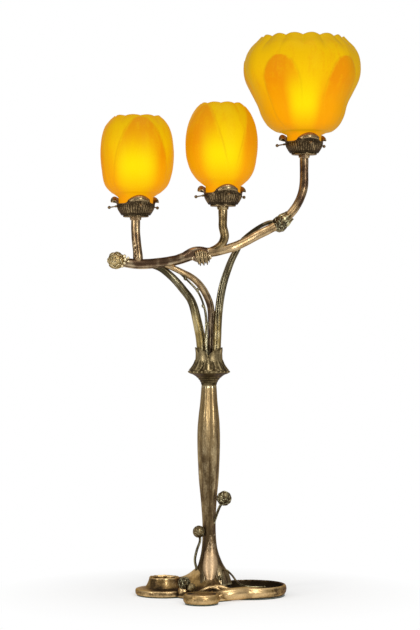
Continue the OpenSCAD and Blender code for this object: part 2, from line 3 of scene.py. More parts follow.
import bpy
import numpy as np
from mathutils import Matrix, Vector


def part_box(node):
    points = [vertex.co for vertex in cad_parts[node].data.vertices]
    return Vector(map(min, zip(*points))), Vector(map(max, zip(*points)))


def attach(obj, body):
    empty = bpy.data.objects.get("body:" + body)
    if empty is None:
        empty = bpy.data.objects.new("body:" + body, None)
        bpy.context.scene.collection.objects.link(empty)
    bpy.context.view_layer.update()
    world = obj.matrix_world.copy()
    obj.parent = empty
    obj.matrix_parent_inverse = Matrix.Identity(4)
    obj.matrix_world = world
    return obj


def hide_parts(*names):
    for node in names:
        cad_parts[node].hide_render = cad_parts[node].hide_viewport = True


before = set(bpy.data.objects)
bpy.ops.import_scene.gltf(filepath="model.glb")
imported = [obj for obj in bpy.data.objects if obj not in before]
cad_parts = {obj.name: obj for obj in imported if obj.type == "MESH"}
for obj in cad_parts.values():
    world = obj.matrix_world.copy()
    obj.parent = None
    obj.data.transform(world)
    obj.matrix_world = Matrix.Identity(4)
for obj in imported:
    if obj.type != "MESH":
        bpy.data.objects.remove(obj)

bl_info = {
    "name": "Tulip Shade Table Lamp",
    "version": (1, 0, 0),
    "blender": (4, 5, 0),
    "location": "3D View > Sidebar > Lamp",
    "description": "Dresses the lamp's frame in cast bronze and lit amber glass",
    "category": "Add Mesh",
}

MM = 0.001
TURN = 2 * math.pi
FRONT = 1.5 * math.pi
SIDES = ("left", "middle", "right")
STAND = "stand"


# --- Places, in millimetres, read off the frame ---


def corners(node):
    """Lowest and highest corner of a node of the frame, in millimetres."""
    low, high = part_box(node)
    return np.array(low) / MM, np.array(high) / MM


def light_foot(side):
    """Middle of the underside of a light's holder."""
    low, high = corners(side + "_lampholder")
    middle = (low + high) / 2
    return np.array([middle[0], middle[1], corners(side + "_holder")[0][2]])


FEET = {side: light_foot(side) for side in SIDES}
FELT_TOP = corners("felt_pad")[1][2]
COLUMN_TOP = corners("leaf_collar")[0][2]
COLLAR_TOP = corners("leaf_collar")[1][2]
COLLAR_RIM = COLUMN_TOP + 20  # height of the collar's beaded rim
FOOT_Z = corners("collar_plug")[0][2] + 2  # where the branches' feet stand in the collar's plug


def pad_place(node):
    """Middle of a round pad of the base, its radius and its height."""
    low, high = corners(node)
    return (low[:2] + high[:2]) / 2, (high[0] - low[0]) / 2, high[2]


# --- Curves and surfaces: whole arrays of points, in millimetres ---


def unit(v):
    """Vectors of length one along v."""
    return v / np.maximum(np.linalg.norm(v, axis=-1, keepdims=True), 1e-9)


def ease(low, high, x):
    """Smooth step from 0 at low to 1 at high: 3t^2 - 2t^3."""
    t = np.clip((x - low) / (high - low), 0, 1)
    return t * t * (3 - 2 * t)


def cubic(a, b, c, d, t):
    """Catmull-Rom cubic from b to c over t from 0 to 1, whose slope at each of them is half the
    step between its neighbours."""
    return 0.5 * (2 * b + (c - a) * t + (2 * a - 5 * b + 4 * c - d) * t**2
                  + (3 * b - a - 3 * c + d) * t**3)


def smooth_line(points, steps):
    """Line through the points, with the given steps of a cubic in each span."""
    p = np.asarray(points, float)
    rows = (np.vstack([p[:1], p[:-2]]), p[:-1], p[1:], np.vstack([p[2:], p[-1:]]))
    a, b, c, d = (r[:, None, :] for r in rows)
    t = (np.arange(steps) / steps)[None, :, None]
    return np.vstack([cubic(a, b, c, d, t).reshape(-1, p.shape[1]), p[-1:]])


def noise(points, size, seed):
    """Smooth value noise from -1 to 1: seeded numbers on a cubic lattice of the given size, eased
    between the lattice points."""
    lattice = np.random.default_rng(seed).random((16, 16, 16))
    q = np.asarray(points) / size
    cell = np.floor(q).astype(int)
    t = q - cell
    t = t * t * (3 - 2 * t)
    total = 0
    for corner in np.ndindex(2, 2, 2):
        weight = np.prod(np.where(corner, t, 1 - t), axis=-1)
        total = total + weight * lattice[tuple(np.moveaxis((cell + corner) % 16, -1, 0))]
    return 2 * total - 1


def around(sides):
    """Equally spaced angles round a full turn."""
    return TURN * np.arange(sides) / sides


def axes_along(direction):
    """Rows of a right-handed set of axes whose third row is the direction."""
    z = unit(np.asarray(direction, float))
    x = unit(np.cross([0.0, 0.0, 1.0], z)) if abs(z[2]) < 0.99 else np.array([1.0, 0, 0])
    return np.stack([x, np.cross(z, x), z])


def round_section(angle, way):
    """Section of a round tube: 1 at every angle."""
    return 1 + 0 * angle * way


def ribbed(ridges, ridge, fine, twist, groove_at=None, groove=0.1, seed=1):
    """Section of a grown stem: 1 + ridge * cos(ridges * a) + fine * cos(5 * ridges * a), with
    a = angle + twist * way, one deeper groove, and slow swellings along the way."""
    def section(angle, way):
        """Share of the radius at each angle, the way along the stem in millimetres."""
        a = angle + twist * way
        swell = 0.02 * noise(np.stack([way, 0 * way, 0 * way], -1), 9.0, seed)
        lines = fine * np.cos(5 * ridges * a + 0.6 * np.sin(way / 11))
        shape = 1 + ridge * np.cos(ridges * a) + lines + swell
        if groove_at is not None:
            gap = (a - groove_at + math.pi) % TURN - math.pi
            shape = shape - groove * np.exp(-(gap / 0.22)**2)
        return shape
    return section


def carried(line, section, sides=48, level=False):
    """Section carried along a line of places and radii: place + radius * section(angle, way) *
    (cos(angle) * side + sin(angle) * over), with side and over square to the line's heading, or
    to the upright where level is set."""
    place, radius = line[:, :3], line[:, 3:4]
    heading = unit(np.gradient(place, axis=0))
    if level:
        heading = np.broadcast_to([0.0, 0.0, 1.0], place.shape)
    side = unit(np.cross(heading, [0.0, 1.0, 0.0]))
    over = np.cross(side, heading)
    way = np.concatenate([[0], np.cumsum(np.linalg.norm(np.diff(place, axis=0), axis=1))])[:, None]
    angle = around(sides)[None, :]
    reach = (radius * section(angle, way))[..., None]
    turn = np.cos(angle)[..., None] * side[:, None] + np.sin(angle)[..., None] * over[:, None]
    return place[:, None] + reach * turn


def revolved(profile, place=(0, 0, 0), sides=96, relief=None):
    """Surface of revolution about the upright axis through place: radius r and height z of the
    profile at every angle, pushed outwards by relief(angle, z)."""
    profile = np.asarray(profile, float)
    angle = around(sides)[None, :]
    r, z = profile[:, 0:1], profile[:, 1:2] + 0 * angle
    r = r + (relief(angle, z) if relief else 0 * angle)
    return np.stack([r * np.cos(angle), r * np.sin(angle), z], -1) + np.asarray(place, float)


def oval(half, start, share):
    """Half angle along an oval leaf: half * sqrt(sin(pi * t)), with t = start + share * s."""
    def width(s):
        """Half angle at the share s of the leaf's length."""
        arch = np.sin(math.pi * (start + share * s))
        return math.radians(half) * np.sqrt(np.maximum(arch, 0))
    return width


def sepal(profile, angle, width, lift=0.3, thick=1.2, rib=0.5, rows=28, sides=24):
    """Leaf that lies on a surface of revolution. The profile gives radius and height along the
    leaf, width(s) its half angle at the share s of its length. Across it, v runs from -1 to 1:
    the leaf stands lift + thick * sqrt(1 - v^2) off the surface, with a rib at v = 0."""
    profile = np.asarray(profile, float)
    s = np.linspace(0, 1, rows)
    line = smooth_line(profile, 8)
    at = np.linspace(0, len(line) - 1, rows)
    r = np.interp(at, np.arange(len(line)), line[:, 0])
    z = np.interp(at, np.arange(len(line)), line[:, 1])
    out = unit(np.stack([np.gradient(z), -np.gradient(r)], -1))
    turn = around(sides)[None, :]
    v, h = np.cos(turn), np.sin(turn)
    half = width(s)[:, None]
    bulge = (thick * (0.35 + 0.65 * np.sqrt(np.maximum(1 - s**2, 0))))[:, None]
    off = lift + bulge * h + rib * np.exp(-(v / 0.16)**2) * (h > 0)
    theta = angle + half * v
    radius = r[:, None] + off * out[:, 0:1]
    height = z[:, None] + off * out[:, 1:2]
    return np.stack([radius * np.cos(theta), radius * np.sin(theta), height], -1)


def scaled_ball(radius, place, turn, rings, lift=1.1, stretch=1.0, rows=96, sides=144):
    """Ball of overlapping rounded scales whose tips point along turn's third row. Ring k holds
    rings[k] scales. In a scale's own terms u runs from -1 to 1 across it and v down from its
    ring's middle; its edge is the curve v = 0.7 u^2 - 0.5, where it stands lift off the ball, and
    it falls away below. Each point lies on the highest scale there."""
    b = np.linspace(0.02, math.pi - 0.02, rows)[:, None]
    a = around(sides)[None, :]
    span = math.pi / len(rings)
    height = np.zeros((rows, sides))
    for k, count in enumerate(rings):
        u = (a * count / TURN + 0.5 * (k % 2)) % 1 * 2 - 1
        below_edge = (b - (k + 0.5) * span) / span - 0.7 * u**2 + 0.5
        scale = ease(0, 0.14, below_edge) * (1 - 0.45 * below_edge) * (1 - 0.4 * u**2)
        height = np.maximum(height, lift * scale)
    r = radius - lift + height
    ball = np.stack([r * np.sin(b) * np.cos(a), r * np.sin(b) * np.sin(a),
                     r * np.cos(b) * stretch], -1)
    return ball @ turn + np.asarray(place, float)


def bead(place, radius, rows=9, sides=12):
    """Small ball: rows of rings between its poles."""
    b = np.linspace(0.15, math.pi - 0.15, rows)[:, None]
    a = around(sides)[None, :]
    ball = np.stack([np.sin(b) * np.cos(a), np.sin(b) * np.sin(a), -np.cos(b) + 0 * a], -1)
    return radius * ball + np.asarray(place, float)


# --- From surfaces to pieces ---


class Piece:
    """Closed surfaces that make one piece, each a grid of rows of points round it, with a tone
    from 0 to 1 at each point for its material."""

    def __init__(self):
        self.points, self.faces, self.counts, self.tones = [], [], [], []
        self.total = 0

    def add(self, grid, tone=0.5, loop=False):
        """Adds a grid. Its rows close into a loop, or else each end is closed by a middle point."""
        rows, sides = grid.shape[:2]
        i = np.arange(rows if loop else rows - 1)[:, None]
        j, k = np.arange(sides), (np.arange(sides) + 1) % sides
        low, high = i * sides, (i + 1) % rows * sides
        quads = np.stack([low + j, low + k, high + k, high + j], -1).reshape(-1, 4)
        points = grid.reshape(-1, 3)
        tones = np.broadcast_to(tone, (rows, sides)).reshape(-1)
        caps = np.zeros((0, 3), int)
        if not loop:
            n = rows * sides
            points = np.vstack([points, grid[0].mean(0), grid[-1].mean(0)])
            tones = np.concatenate([tones, [tones[0], tones[-1]]])
            first = np.stack([np.full(sides, n), k, j], -1)
            last = np.stack([np.full(sides, n + 1), n - sides + j, n - sides + k], -1)
            caps = np.vstack([first, last])
        triangles = np.vstack([quads[:, :3], quads[:, [0, 2, 3]], caps])
        a, b, c = (points[triangles[:, m]] - points.mean(0) for m in range(3))
        if (a * np.cross(b, c)).sum() < 0:
            quads, caps = quads[:, ::-1], caps[:, ::-1]
        self.points.append(points)
        self.tones.append(tones)
        self.faces.append(np.concatenate([quads.ravel(), caps.ravel()]) + self.total)
        self.counts.append(np.repeat([4, 3], [len(quads), len(caps)]))
        self.total += len(points)
        return self

    def mesh(self, name):
        """Blender mesh of the surfaces, in metres. Its tone attribute holds the tones, and its
        surface attribute numbers the surfaces in the order they were added."""
        corner, counts = np.concatenate(self.faces), np.concatenate(self.counts)
        mesh = bpy.data.meshes.new(name)
        mesh.vertices.add(self.total)
        mesh.vertices.foreach_set("co", (np.vstack(self.points) * MM).astype(np.float32).ravel())
        mesh.loops.add(len(corner))
        mesh.loops.foreach_set("vertex_index", corner.astype(np.int32))
        mesh.polygons.add(len(counts))
        mesh.polygons.foreach_set("loop_start", (np.cumsum(counts) - counts).astype(np.int32))
        mesh.update(calc_edges=True)
        mesh.validate()
        mesh.polygons.foreach_set("use_smooth", np.ones(len(counts), bool))
        set_values(mesh, "tone", np.concatenate(self.tones))
        number = np.repeat(np.arange(len(self.points)), [len(p) for p in self.points])
        set_values(mesh, "surface", number, "INT")
        return mesh


def read(data, key, wide=1, kind=float):
    """Values of one key of a mesh's data as an array, in rows of the given width."""
    values = np.empty(len(data) * wide, kind)
    data.foreach_get(key, values)
    return values.reshape(-1, wide) if wide > 1 else values


def set_values(mesh, name, values, kind="FLOAT"):
    """Sets an attribute of a mesh's points, and makes it if it is new."""
    attribute = mesh.attributes.get(name) or mesh.attributes.new(name, kind, "POINT")
    number = np.int32 if kind == "INT" else np.float32
    attribute.data.foreach_set("value", np.ravel(values).astype(number))


def averaged(points, ends, passes):
    """Points of a net with the given edges, each drawn half way to the mean of its neighbours as
    often as passes says."""
    n = len(points)
    degree = np.maximum(np.bincount(ends.ravel(), minlength=n), 1)[:, None]
    for _ in range(passes):
        sums = [np.bincount(ends[:, 0], points[ends[:, 1], k], n)
                + np.bincount(ends[:, 1], points[ends[:, 0], k], n) for k in range(3)]
        points = (points + np.stack(sums, -1) / degree) / 2
    return points


def wear(mesh, reach, passes=8):
    """Sets the worn attribute: how far each point stands out of the surface averaged round it,
    from 0 in a hollow to 1 where it stands out by reach millimetres. It is measured mostly against
    the median of the point's own surface, so thin stalks stay dark."""
    points, ends = read(mesh.vertices, "co", 3), read(mesh.edges, "vertices", 2, int)
    away = points - averaged(points, ends, passes)
    proud = (away * read(mesh.vertices, "normal", 3)).sum(1) / MM
    usual = np.full(len(points), np.median(proud))
    if "surface" in mesh.attributes:
        number = read(mesh.attributes["surface"].data, "value", kind=np.int32)
        for k in range(number.max() + 1):
            own = number == k
            usual[own] = 0.25 * usual[own] + 0.75 * np.median(proud[own])
    set_values(mesh, "worn", np.clip(0.5 + (proud - usual) / (2 * reach), 0, 1))


def rub(mesh, change):
    """Adds a change to the worn attribute of each point: the pieces use it to paint highlights and
    shade into the metal's brightness.
    """
    worn = read(mesh.attributes["worn"].data, "value", kind=np.float32)
    set_values(mesh, "worn", worn + change)


def finish_piece(name, mesh, material, body=STAND, nodes=(), reach=0.25, crease=50):
    """Makes the object of a mesh: its material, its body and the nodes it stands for."""
    if "worn" not in mesh.attributes:
        wear(mesh, reach)
    mesh.set_sharp_from_angle(angle=math.radians(crease))
    mesh.materials.append(material)
    piece = bpy.data.objects.new(name, mesh)
    bpy.context.scene.collection.objects.link(piece)
    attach(piece, body)
    if nodes:
        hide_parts(*nodes)


def cast(part, name, finish, *nodes, reach=0.25, other=None, first=1):
    """Makes a bronze piece of the stand out of a Piece or a mesh. Its surfaces from the one
    numbered first on may have another finish."""
    mesh = part.mesh(name) if isinstance(part, Piece) else part
    finish_piece(name, mesh, finish_of(finish), nodes=nodes, reach=reach)
    if other:
        mesh.materials.append(finish_of(other))
        number = read(mesh.attributes["surface"].data, "value", kind=np.int32)
        corner = read(mesh.loops, "vertex_index", kind=np.int32)
        start = read(mesh.polygons, "loop_start", kind=np.int32)
        chosen = number[corner[start]] >= first
        mesh.polygons.foreach_set("material_index", chosen.astype(np.int32))


# --- Materials ---


def linear(colour):
    """Linear RGBA of an sRGB hex colour."""
    srgb = [int(colour[k:k + 2], 16) / 255 for k in (1, 3, 5)]
    return [c / 12.92 if c <= 0.04045 else ((c + 0.055) / 1.055)**2.4 for c in srgb] + [1.0]


def add_node(tree, kind, inputs=None, stops=None, **settings):
    """Adds a node, sets its settings, its ramp stops and its inputs, and links those given as a
    socket, or as a node, whose first output in use is taken."""
    node = tree.nodes.new("ShaderNode" + kind)
    for name, value in settings.items():
        setattr(node, name, value)
    for name, value in (inputs or {}).items():
        if isinstance(value, bpy.types.Node):
            value = next(out for out in value.outputs if out.enabled)
        if isinstance(value, bpy.types.NodeSocket):
            tree.links.new(value, node.inputs[name])
        else:
            node.inputs[name].default_value = value
    for k, (place, colour) in enumerate(stops or ()):
        ramp = node.color_ramp.elements
        stop = ramp[k] if k < 2 else ramp.new(place)
        stop.position = place
        stop.color = linear(colour)
    return node


def new_material(name):
    """Empty material and its node tree."""
    material = bpy.data.materials.new(name)
    material.use_nodes = True
    material.node_tree.nodes.clear()
    return material, material.node_tree


def close_material(tree, shader):
    """Links the shader to the material's output."""
    add_node(tree, "OutputMaterial", {"Surface": shader})


# Sizes of the patterns, in millimetres
MOTTLE = 12
GRAIN = 2.4
STREAKS = 9
SPECKS = 2.6


def cast_bronze(name, hollow, body, second, worn, shine, stretch, grainy):
    """Cast bronze under a brown-green patina. It is darkest in the hollows, mottled between two
    patina colours over 12 mm, and rubbed to bright, glossier metal on what stands proud. The skin
    is the fine grain of a sand casting, drawn at 2.4 mm so that it shows; smooth tubes have
    little of it and no small mottle. The level of wear is 0.4 + grainy * (grain - 0.5) + worn +
    0.5 * mottle, and the patina's share of the second colour follows 1.2 * mottle + tone."""
    material, tree = new_material(name)
    place = add_node(tree, "TexCoord").outputs["Object"]
    drawn = add_node(tree, "Mapping", {"Vector": place, "Scale": (1.0, 1.0, stretch)})
    mottle = add_node(tree, "TexNoise", {
        "Vector": drawn, "Scale": 1 / (MOTTLE * MM), "Detail": 5.0 if grainy > 0.2 else 1.0,
        "Roughness": 0.6})
    grain = add_node(tree, "TexNoise", {"Vector": place, "Scale": 1 / (GRAIN * MM),
                                        "Detail": 4.0, "Roughness": 0.7})
    proud, tone = (add_node(tree, "Attribute", attribute_name=key).outputs["Fac"]
                   for key in ("worn", "tone"))
    level = add_node(tree, "MapRange", {"Value": grain, "To Min": 0.4 - grainy / 2,
                                        "To Max": 0.4 + grainy / 2})
    speck = add_node(tree, "Math", {0: level, 1: proud}, operation="ADD")
    rubbed = add_node(tree, "Math", {0: mottle, 1: 0.5, 2: speck}, operation="MULTIPLY_ADD")
    patch = add_node(tree, "Math", {0: mottle, 1: 1.2, 2: tone}, operation="MULTIPLY_ADD")
    which = add_node(tree, "MapRange", {"Value": patch, "From Min": 0.85, "From Max": 1.4})
    patina = add_node(tree, "Mix", {"Factor": which, "A": linear(body), "B": linear(second)},
                      data_type="RGBA")
    low = add_node(tree, "MapRange", {"Value": rubbed, "From Min": 0.75, "From Max": 1.15})
    dark = add_node(tree, "Mix", {"Factor": low, "A": linear(hollow), "B": patina},
                    data_type="RGBA")
    high = add_node(tree, "MapRange", {"Value": rubbed, "From Min": 1.15, "From Max": 1.6})
    colour = add_node(tree, "Mix", {"Factor": high, "A": dark, "B": linear(worn)},
                      data_type="RGBA")
    metal = add_node(tree, "MapRange", {"Value": high, "To Min": 0.7, "To Max": 0.95})
    rough = add_node(tree, "MapRange", {"Value": rubbed, "From Min": 0.75, "From Max": 1.55,
                                        "To Min": shine + 0.14, "To Max": shine - 0.04})
    bump = add_node(tree, "Bump", {"Height": grain, "Strength": 0.5 * grainy,
                                   "Distance": 0.25 * MM})
    shader = add_node(tree, "BsdfPrincipled", {
        "Base Color": colour, "Metallic": metal, "Roughness": rough, "Normal": bump,
        "Specular Tint": linear("#a58a66")})
    close_material(tree, shader)
    return material


def plain_finish(name, colour, darker, metallic, roughness, size, bump=0.1, more=None):
    """Plain finish with a slight change of colour over the given size in millimetres: turned
    brass, plated steel, felt, rubber or porcelain."""
    material, tree = new_material(name)
    place = add_node(tree, "TexCoord").outputs["Object"]
    spots = add_node(tree, "TexNoise", {"Vector": place, "Scale": 1 / (size * MM), "Detail": 4.0})
    tint = add_node(tree, "Mix", {"Factor": spots, "A": linear(darker), "B": linear(colour)},
                    data_type="RGBA")
    skin = add_node(tree, "Bump", {"Height": spots, "Strength": bump, "Distance": 0.2 * MM})
    shader = add_node(tree, "BsdfPrincipled", {
        "Base Color": tint, "Metallic": metallic, "Roughness": roughness, "Normal": skin,
        **(more or {})})
    close_material(tree, shader)
    return material


def amber_glass(name, foot, height, edge, spread, looks):
    """Blown opal glass cased in amber and acid-etched outside. The outer petals are deep amber and
    the inner ones honey yellow, more so towards the rim, and both are streaked along the way the
    glass was drawn, over 9 mm, and specked over 2.6 mm. The colour is also emitted: painted light
    that stands in for the bulb shining through the glass. The glow attribute paints a band
    brightest at the bulb's height, the bulb is painted as a soft upright flame where one looks
    straight through the wall, and the glass is painted darker, olive amber, where one looks along
    it: painted shade."""
    material, tree = new_material(name)
    place = add_node(tree, "TexCoord").outputs["Object"]
    up = add_node(tree, "SeparateXYZ", {"Vector": place}).outputs["Z"]
    share = add_node(tree, "MapRange", {
        "Value": up, "From Min": foot[2] * MM, "From Max": (foot[2] + height) * MM})
    petal, glow, seam = (add_node(tree, "Attribute", attribute_name=key).outputs["Fac"]
                         for key in ("tone", "glow", "seam"))
    drawn = add_node(tree, "Mapping", {"Vector": place, "Scale": (1.0, 1.0, 0.22)})
    streaks = add_node(tree, "TexNoise", {"Vector": drawn, "Scale": 1 / (STREAKS * MM),
                                          "Detail": 5.0, "Roughness": 0.6})
    specks = add_node(tree, "TexNoise", {"Vector": place, "Scale": 1 / (SPECKS * MM),
                                         "Detail": 3.0})
    swirl = add_node(tree, "Mix", {"Factor": 0.3, "A": streaks, "B": specks}, data_type="FLOAT")
    inner = add_node(tree, "ValToRGB", {"Fac": share}, stops=(
        (0.2, looks.amber), (0.42, looks.honey), (0.7, looks.yellow), (1.0, looks.olive)))
    outer = add_node(tree, "ValToRGB", {"Fac": share}, stops=(
        (0.2, looks.amber), (0.5, looks.deep_amber), (1.0, looks.tip)))
    shift = add_node(tree, "MapRange", {"Value": swirl, "From Min": 0.35, "From Max": 0.65,
                                        "To Min": -0.35, "To Max": 0.35})
    mixed = add_node(tree, "Math", {0: shift, 1: petal}, operation="ADD")
    upper = add_node(tree, "MapRange", {"Value": share, "From Min": 0.25, "From Max": 0.6})
    which = add_node(tree, "MapRange", {"Value": mixed, "To Max": upper})
    cased = add_node(tree, "Mix", {"Factor": which, "A": inner, "B": outer}, data_type="RGBA")
    away = add_node(tree, "VectorMath", {0: place, 1: (foot[0] * MM, foot[1] * MM, 0)},
                    operation="SUBTRACT")
    level = add_node(tree, "VectorMath", {0: away, 1: (1.0, 1.0, 0.0)}, operation="MULTIPLY")
    radial = add_node(tree, "VectorMath", {0: level}, operation="NORMALIZE")
    # Painted light: the bulb painted as an upright flame across the glow band, where the view meets
    # the wall square on
    wall = add_node(tree, "LayerWeight", {"Blend": 0.5, "Normal": radial}).outputs["Facing"]
    through = add_node(tree, "MapRange", {"Value": wall, "From Min": 0.0, "From Max": spread,
                                          "To Min": 1.0, "To Max": 0.0},
                       interpolation_type="SMOOTHSTEP")
    painted_flame = add_node(tree, "Math", {0: glow, 1: through}, operation="MULTIPLY")
    lit = add_node(tree, "Mix", {"Factor": painted_flame, "A": cased, "B": linear(looks.glow)},
                   data_type="RGBA")
    # Painted shade: darker, olive amber glass where one looks along the wall; the seams are the
    # glass's own darker lines
    facing = add_node(tree, "LayerWeight", {"Blend": 0.5}).outputs["Facing"]
    along = add_node(tree, "MapRange", {"Value": facing, "From Min": 0.25, "From Max": 0.95,
                                        "To Max": 0.9})
    painted_shade_and_seam = add_node(tree, "Math", {0: along, 1: seam}, operation="MAXIMUM")
    painted_light_colour = add_node(tree, "Mix", {"Factor": painted_shade_and_seam, "A": lit, "B": linear(edge)}, data_type="RGBA")
    own = add_node(tree, "Mix", {"Factor": 1.0, "A": painted_light_colour, "B": linear(looks.depth)},
                   data_type="RGBA", blend_type="MULTIPLY")
    skin = add_node(tree, "Bump", {"Height": swirl, "Strength": 0.35, "Distance": 0.8 * MM})
    # Painted light: the glass emits its colour, with the painted glow, flame and shade, in place of
    # the bulb's light through it
    shader = add_node(tree, "BsdfPrincipled", {
        "Base Color": own, "Roughness": 0.5, "Emission Color": painted_light_colour,
        "Emission Strength": looks.strength, "Normal": skin, "Specular IOR Level": 0.03})
    close_material(tree, shader)
    return material


def lit_bulb(name):
    """Frosted bulb, lit: an even warm white."""
    material, tree = new_material(name)
    shader = add_node(tree, "BsdfPrincipled", {
        "Base Color": linear("#fff3d0"), "Roughness": 0.5, "Emission Color": linear("#ffe9a8"),
        "Emission Strength": 2.5})
    close_material(tree, shader)
    return material


# Patinas of the castings: hollows, the two colours of the patina, rubbed metal, then the shine,
# the stretch of the mottle up the piece and the grain. Low numbers of shine are glossier.
BRONZES = {
    # Smooth tube, olive brown, with a narrow bright gleam along it
    "olive_patina": ("Olive patina on cast bronze", "#1f170c", "#615032", "#93794d", "#e6d2a4",
                     0.22, 1.0, 0.14),
    # Greener and darker, drawn out in long streaks up the branches
    "stem_patina": ("Grey-green patina on cast bronze", "#17130b", "#4c4430", "#95804f",
                    "#e8dcb2", 0.22, 0.3, 0.14),
    # Warm brown to dull gold in upright streaks, with a grained skin
    "shaft_patina": ("Streaked patina of the column", "#1c150b", "#53422b", "#a2875c", "#e8d4a8",
                     0.22, 0.2, 0.4),
    # Pale tips on every scale over dark gaps
    "bright_olive": ("Rubbed olive bronze", "#1c160b", "#7b6940", "#b29b68", "#efe0b8", 0.26, 1.0,
                     0.8),
    # The smoothest and glossiest: red-brown with golden places
    "brown_patina": ("Brown patina on cast bronze", "#1f150d", "#5c4735", "#a68a62", "#ecd6ae",
                     0.2, 1.0, 0.08),
    # Grained and satin, golden brown where it is rubbed and where highlights are painted
    "rosy_bronze": ("Rubbed bronze of the base", "#1f170d", "#5a462d", "#9b7b49", "#dcbb87", 0.34,
                    1.0, 0.8),
    # The same, paler and pinker, on the knee: a painted highlight
    "knee_highlight_bronze": ("Bronze of the knee, painted highlight", "#21180f", "#5c4930", "#b89973", "#e6cba4", 0.36,
                  1.0, 0.8),
    # Near black between the leaves, dull olive on them
    "collar_patina": ("Olive patina of the leaf collar", "#100c07", "#40351f", "#625539",
                      "#bba77c", 0.36, 1.0, 0.6),
    # Dark chocolate brown that shows its relief by thin bright edges
    "dark_patina": ("Dark patina on cast bronze", "#100c07", "#3c3020", "#665436", "#cdb284",
                    0.26, 1.0, 0.6),
    # Dark green-brown with pale tips on the scales
    "pod_patina": ("Dark green-brown patina of the pods", "#0e0c07", "#3d3221", "#715c3b",
                   "#d6cfa4", 0.28, 1.0, 0.5),
}
# Other finishes: colour, darker colour, metallic, roughness, size of the change, bump. Brass and
# steel are turned smooth and gleam, felt is matt with a sheen, rubber is dull, porcelain has a
# clear shine, and the thumbscrews' worn bronze is half bare metal.
PLAIN = {
    "turned_brass": ("Turned brass", "#c9a55a", "#a98443", 1.0, 0.3, 6),
    "plated_steel": ("Plated steel", "#b9b9b5", "#8f8f8c", 1.0, 0.35, 4),
    "green_felt": ("Green felt", "#33472f", "#22301f", 0.0, 0.95, 1.2, 0.6,
                   {"Sheen Weight": 0.6, "Sheen Roughness": 0.4}),
    "black_rubber": ("Black rubber", "#1d1d1d", "#121212", 0.0, 0.6, 3),
    "porcelain": ("Glazed porcelain", "#efeae0", "#e2dccf", 0.0, 0.15, 8),
    "worn_bronze": ("Worn bronze of the thumbscrews", "#8d7550", "#54442c", 0.8, 0.35, 2, 0.3),
}
_finishes = {}


def finish_of(name):
    """The material of that name, made once."""
    if name not in _finishes:
        _finishes[name] = (cast_bronze(*BRONZES[name]) if name in BRONZES
                           else plain_finish(*PLAIN[name]))
    return _finishes[name]


def dress_node(node, finish):
    """Gives a node of the frame a finish in all its material slots."""
    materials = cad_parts[node].data.materials
    if not materials:
        materials.append(None)
    for k in range(len(materials)):
        materials[k] = finish_of(finish)


# --- What a user would change ---


def hex_colour(name, place, default):
    """Property for an sRGB hex colour."""
    return bpy.props.StringProperty(name=name, description=place + ", sRGB hex", default=default)


class GlassLooks(bpy.types.PropertyGroup):
    """Colours of the glass shades, with their painted glow and painted shade."""

    amber: hex_colour("Amber", "Foot of the shade", "#fba004")
    deep_amber: hex_colour("Deep amber", "Outer petals", "#f69604")
    tip: hex_colour("Tip", "Outer petals' tips", "#d88d0a")
    honey: hex_colour("Honey", "Lower part of the inner petals", "#fdae06")
    yellow: hex_colour("Yellow", "Upper part of the inner petals", "#f4bd04")
    olive: hex_colour("Olive yellow", "Thin glass at the rim", "#dcb006")
    # Painted glow: the colour of the bulb's light painted on the glass in front of it
    glow: hex_colour("Glow", "Glass in front of the bulb", "#ffe204")
    # Painted shade where the glass is seen along its wall, mixed with the seams' own colour
    edge: hex_colour("Edge", "Glass seen along its wall, and petals' seams", "#b58a06")
    bud_edge: hex_colour("Bud edge", "The same on the closed shades", "#d38a05")
    depth: hex_colour("Depth", "Tint of the glass's own colour", "#606060")
    # Strength of the glass's emission, its painted glow
    strength: bpy.props.FloatProperty(
        name="Strength", description="How strongly the glass shines", default=0.88, min=0, max=4)


class LampSizes(bpy.types.PropertyGroup):
    """Sizes of the small forms."""

    flutes: bpy.props.IntProperty(
        name="Flutes", description="Grooves round a holder's cup", default=44, min=12, max=80)
    flute_depth: bpy.props.FloatProperty(
        name="Flute depth", description="Depth of a holder's grooves, in millimetres",
        default=0.4, min=0, max=1)
    scallop: bpy.props.FloatProperty(
        name="Scallop", description="Height of the rim scallops of the open shade, in millimetres",
        default=3.4, min=0, max=6)
    beads: bpy.props.IntProperty(
        name="Beads", description="Beads round the leaf collar's rim", default=26, min=8, max=60)


# --- Glass shades ---

GLASS = 2.6  # thickness of the wall
NECK_TOP = 28.4
NECK_LINE = ((9.8, 23.2), (10.4, 24), (16, 24), (NECK_TOP - 5, 24), (NECK_TOP, 24.6))
NECK_ROWS = 16  # rows of the grid up to which the wall stands upright
SHADE_SIDES = 360
PETAL_RAISE = 1.0  # how far an outer petal stands out
PETAL_GAP = 0.9  # how far the glass lies back between them
# Outline of each shade: share of its height, share of its radius
SHADE_OUTLINES = {
    "left": ((0.228, 0.60), (0.252, 0.70), (0.32, 0.855), (0.43, 0.945), (0.60, 1), (0.76, 0.985),
             (0.88, 0.91), (0.955, 0.79), (1, 0.66)),
    "middle": ((0.228, 0.61), (0.27, 0.735), (0.36, 0.885), (0.49, 0.975), (0.63, 1), (0.77, 0.95),
               (0.89, 0.83), (0.965, 0.70), (1, 0.60)),
    "right": ((0.192, 0.40), (0.203, 0.50), (0.25, 0.615), (0.33, 0.71), (0.43, 0.775),
              (0.54, 0.885), (0.64, 0.975), (0.73, 1), (0.83, 0.975), (0.91, 0.895),
              (0.965, 0.79), (1, 0.725)),
}
# Each shade's height, radius and lean, its outer petals, where the first one stands round from
# the front, half a petal's width at its widest, and the scallops of its rim
SHADE_FORMS = {
    "left": (140, 51.5, 2.0, 3, 10, 58, 9),
    "middle": (142, 50.4, -2.5, 3, -41, 58, 9),
    "right": (165, 82.5, -2.5, 5, -25.5, 22.5, 15),
}
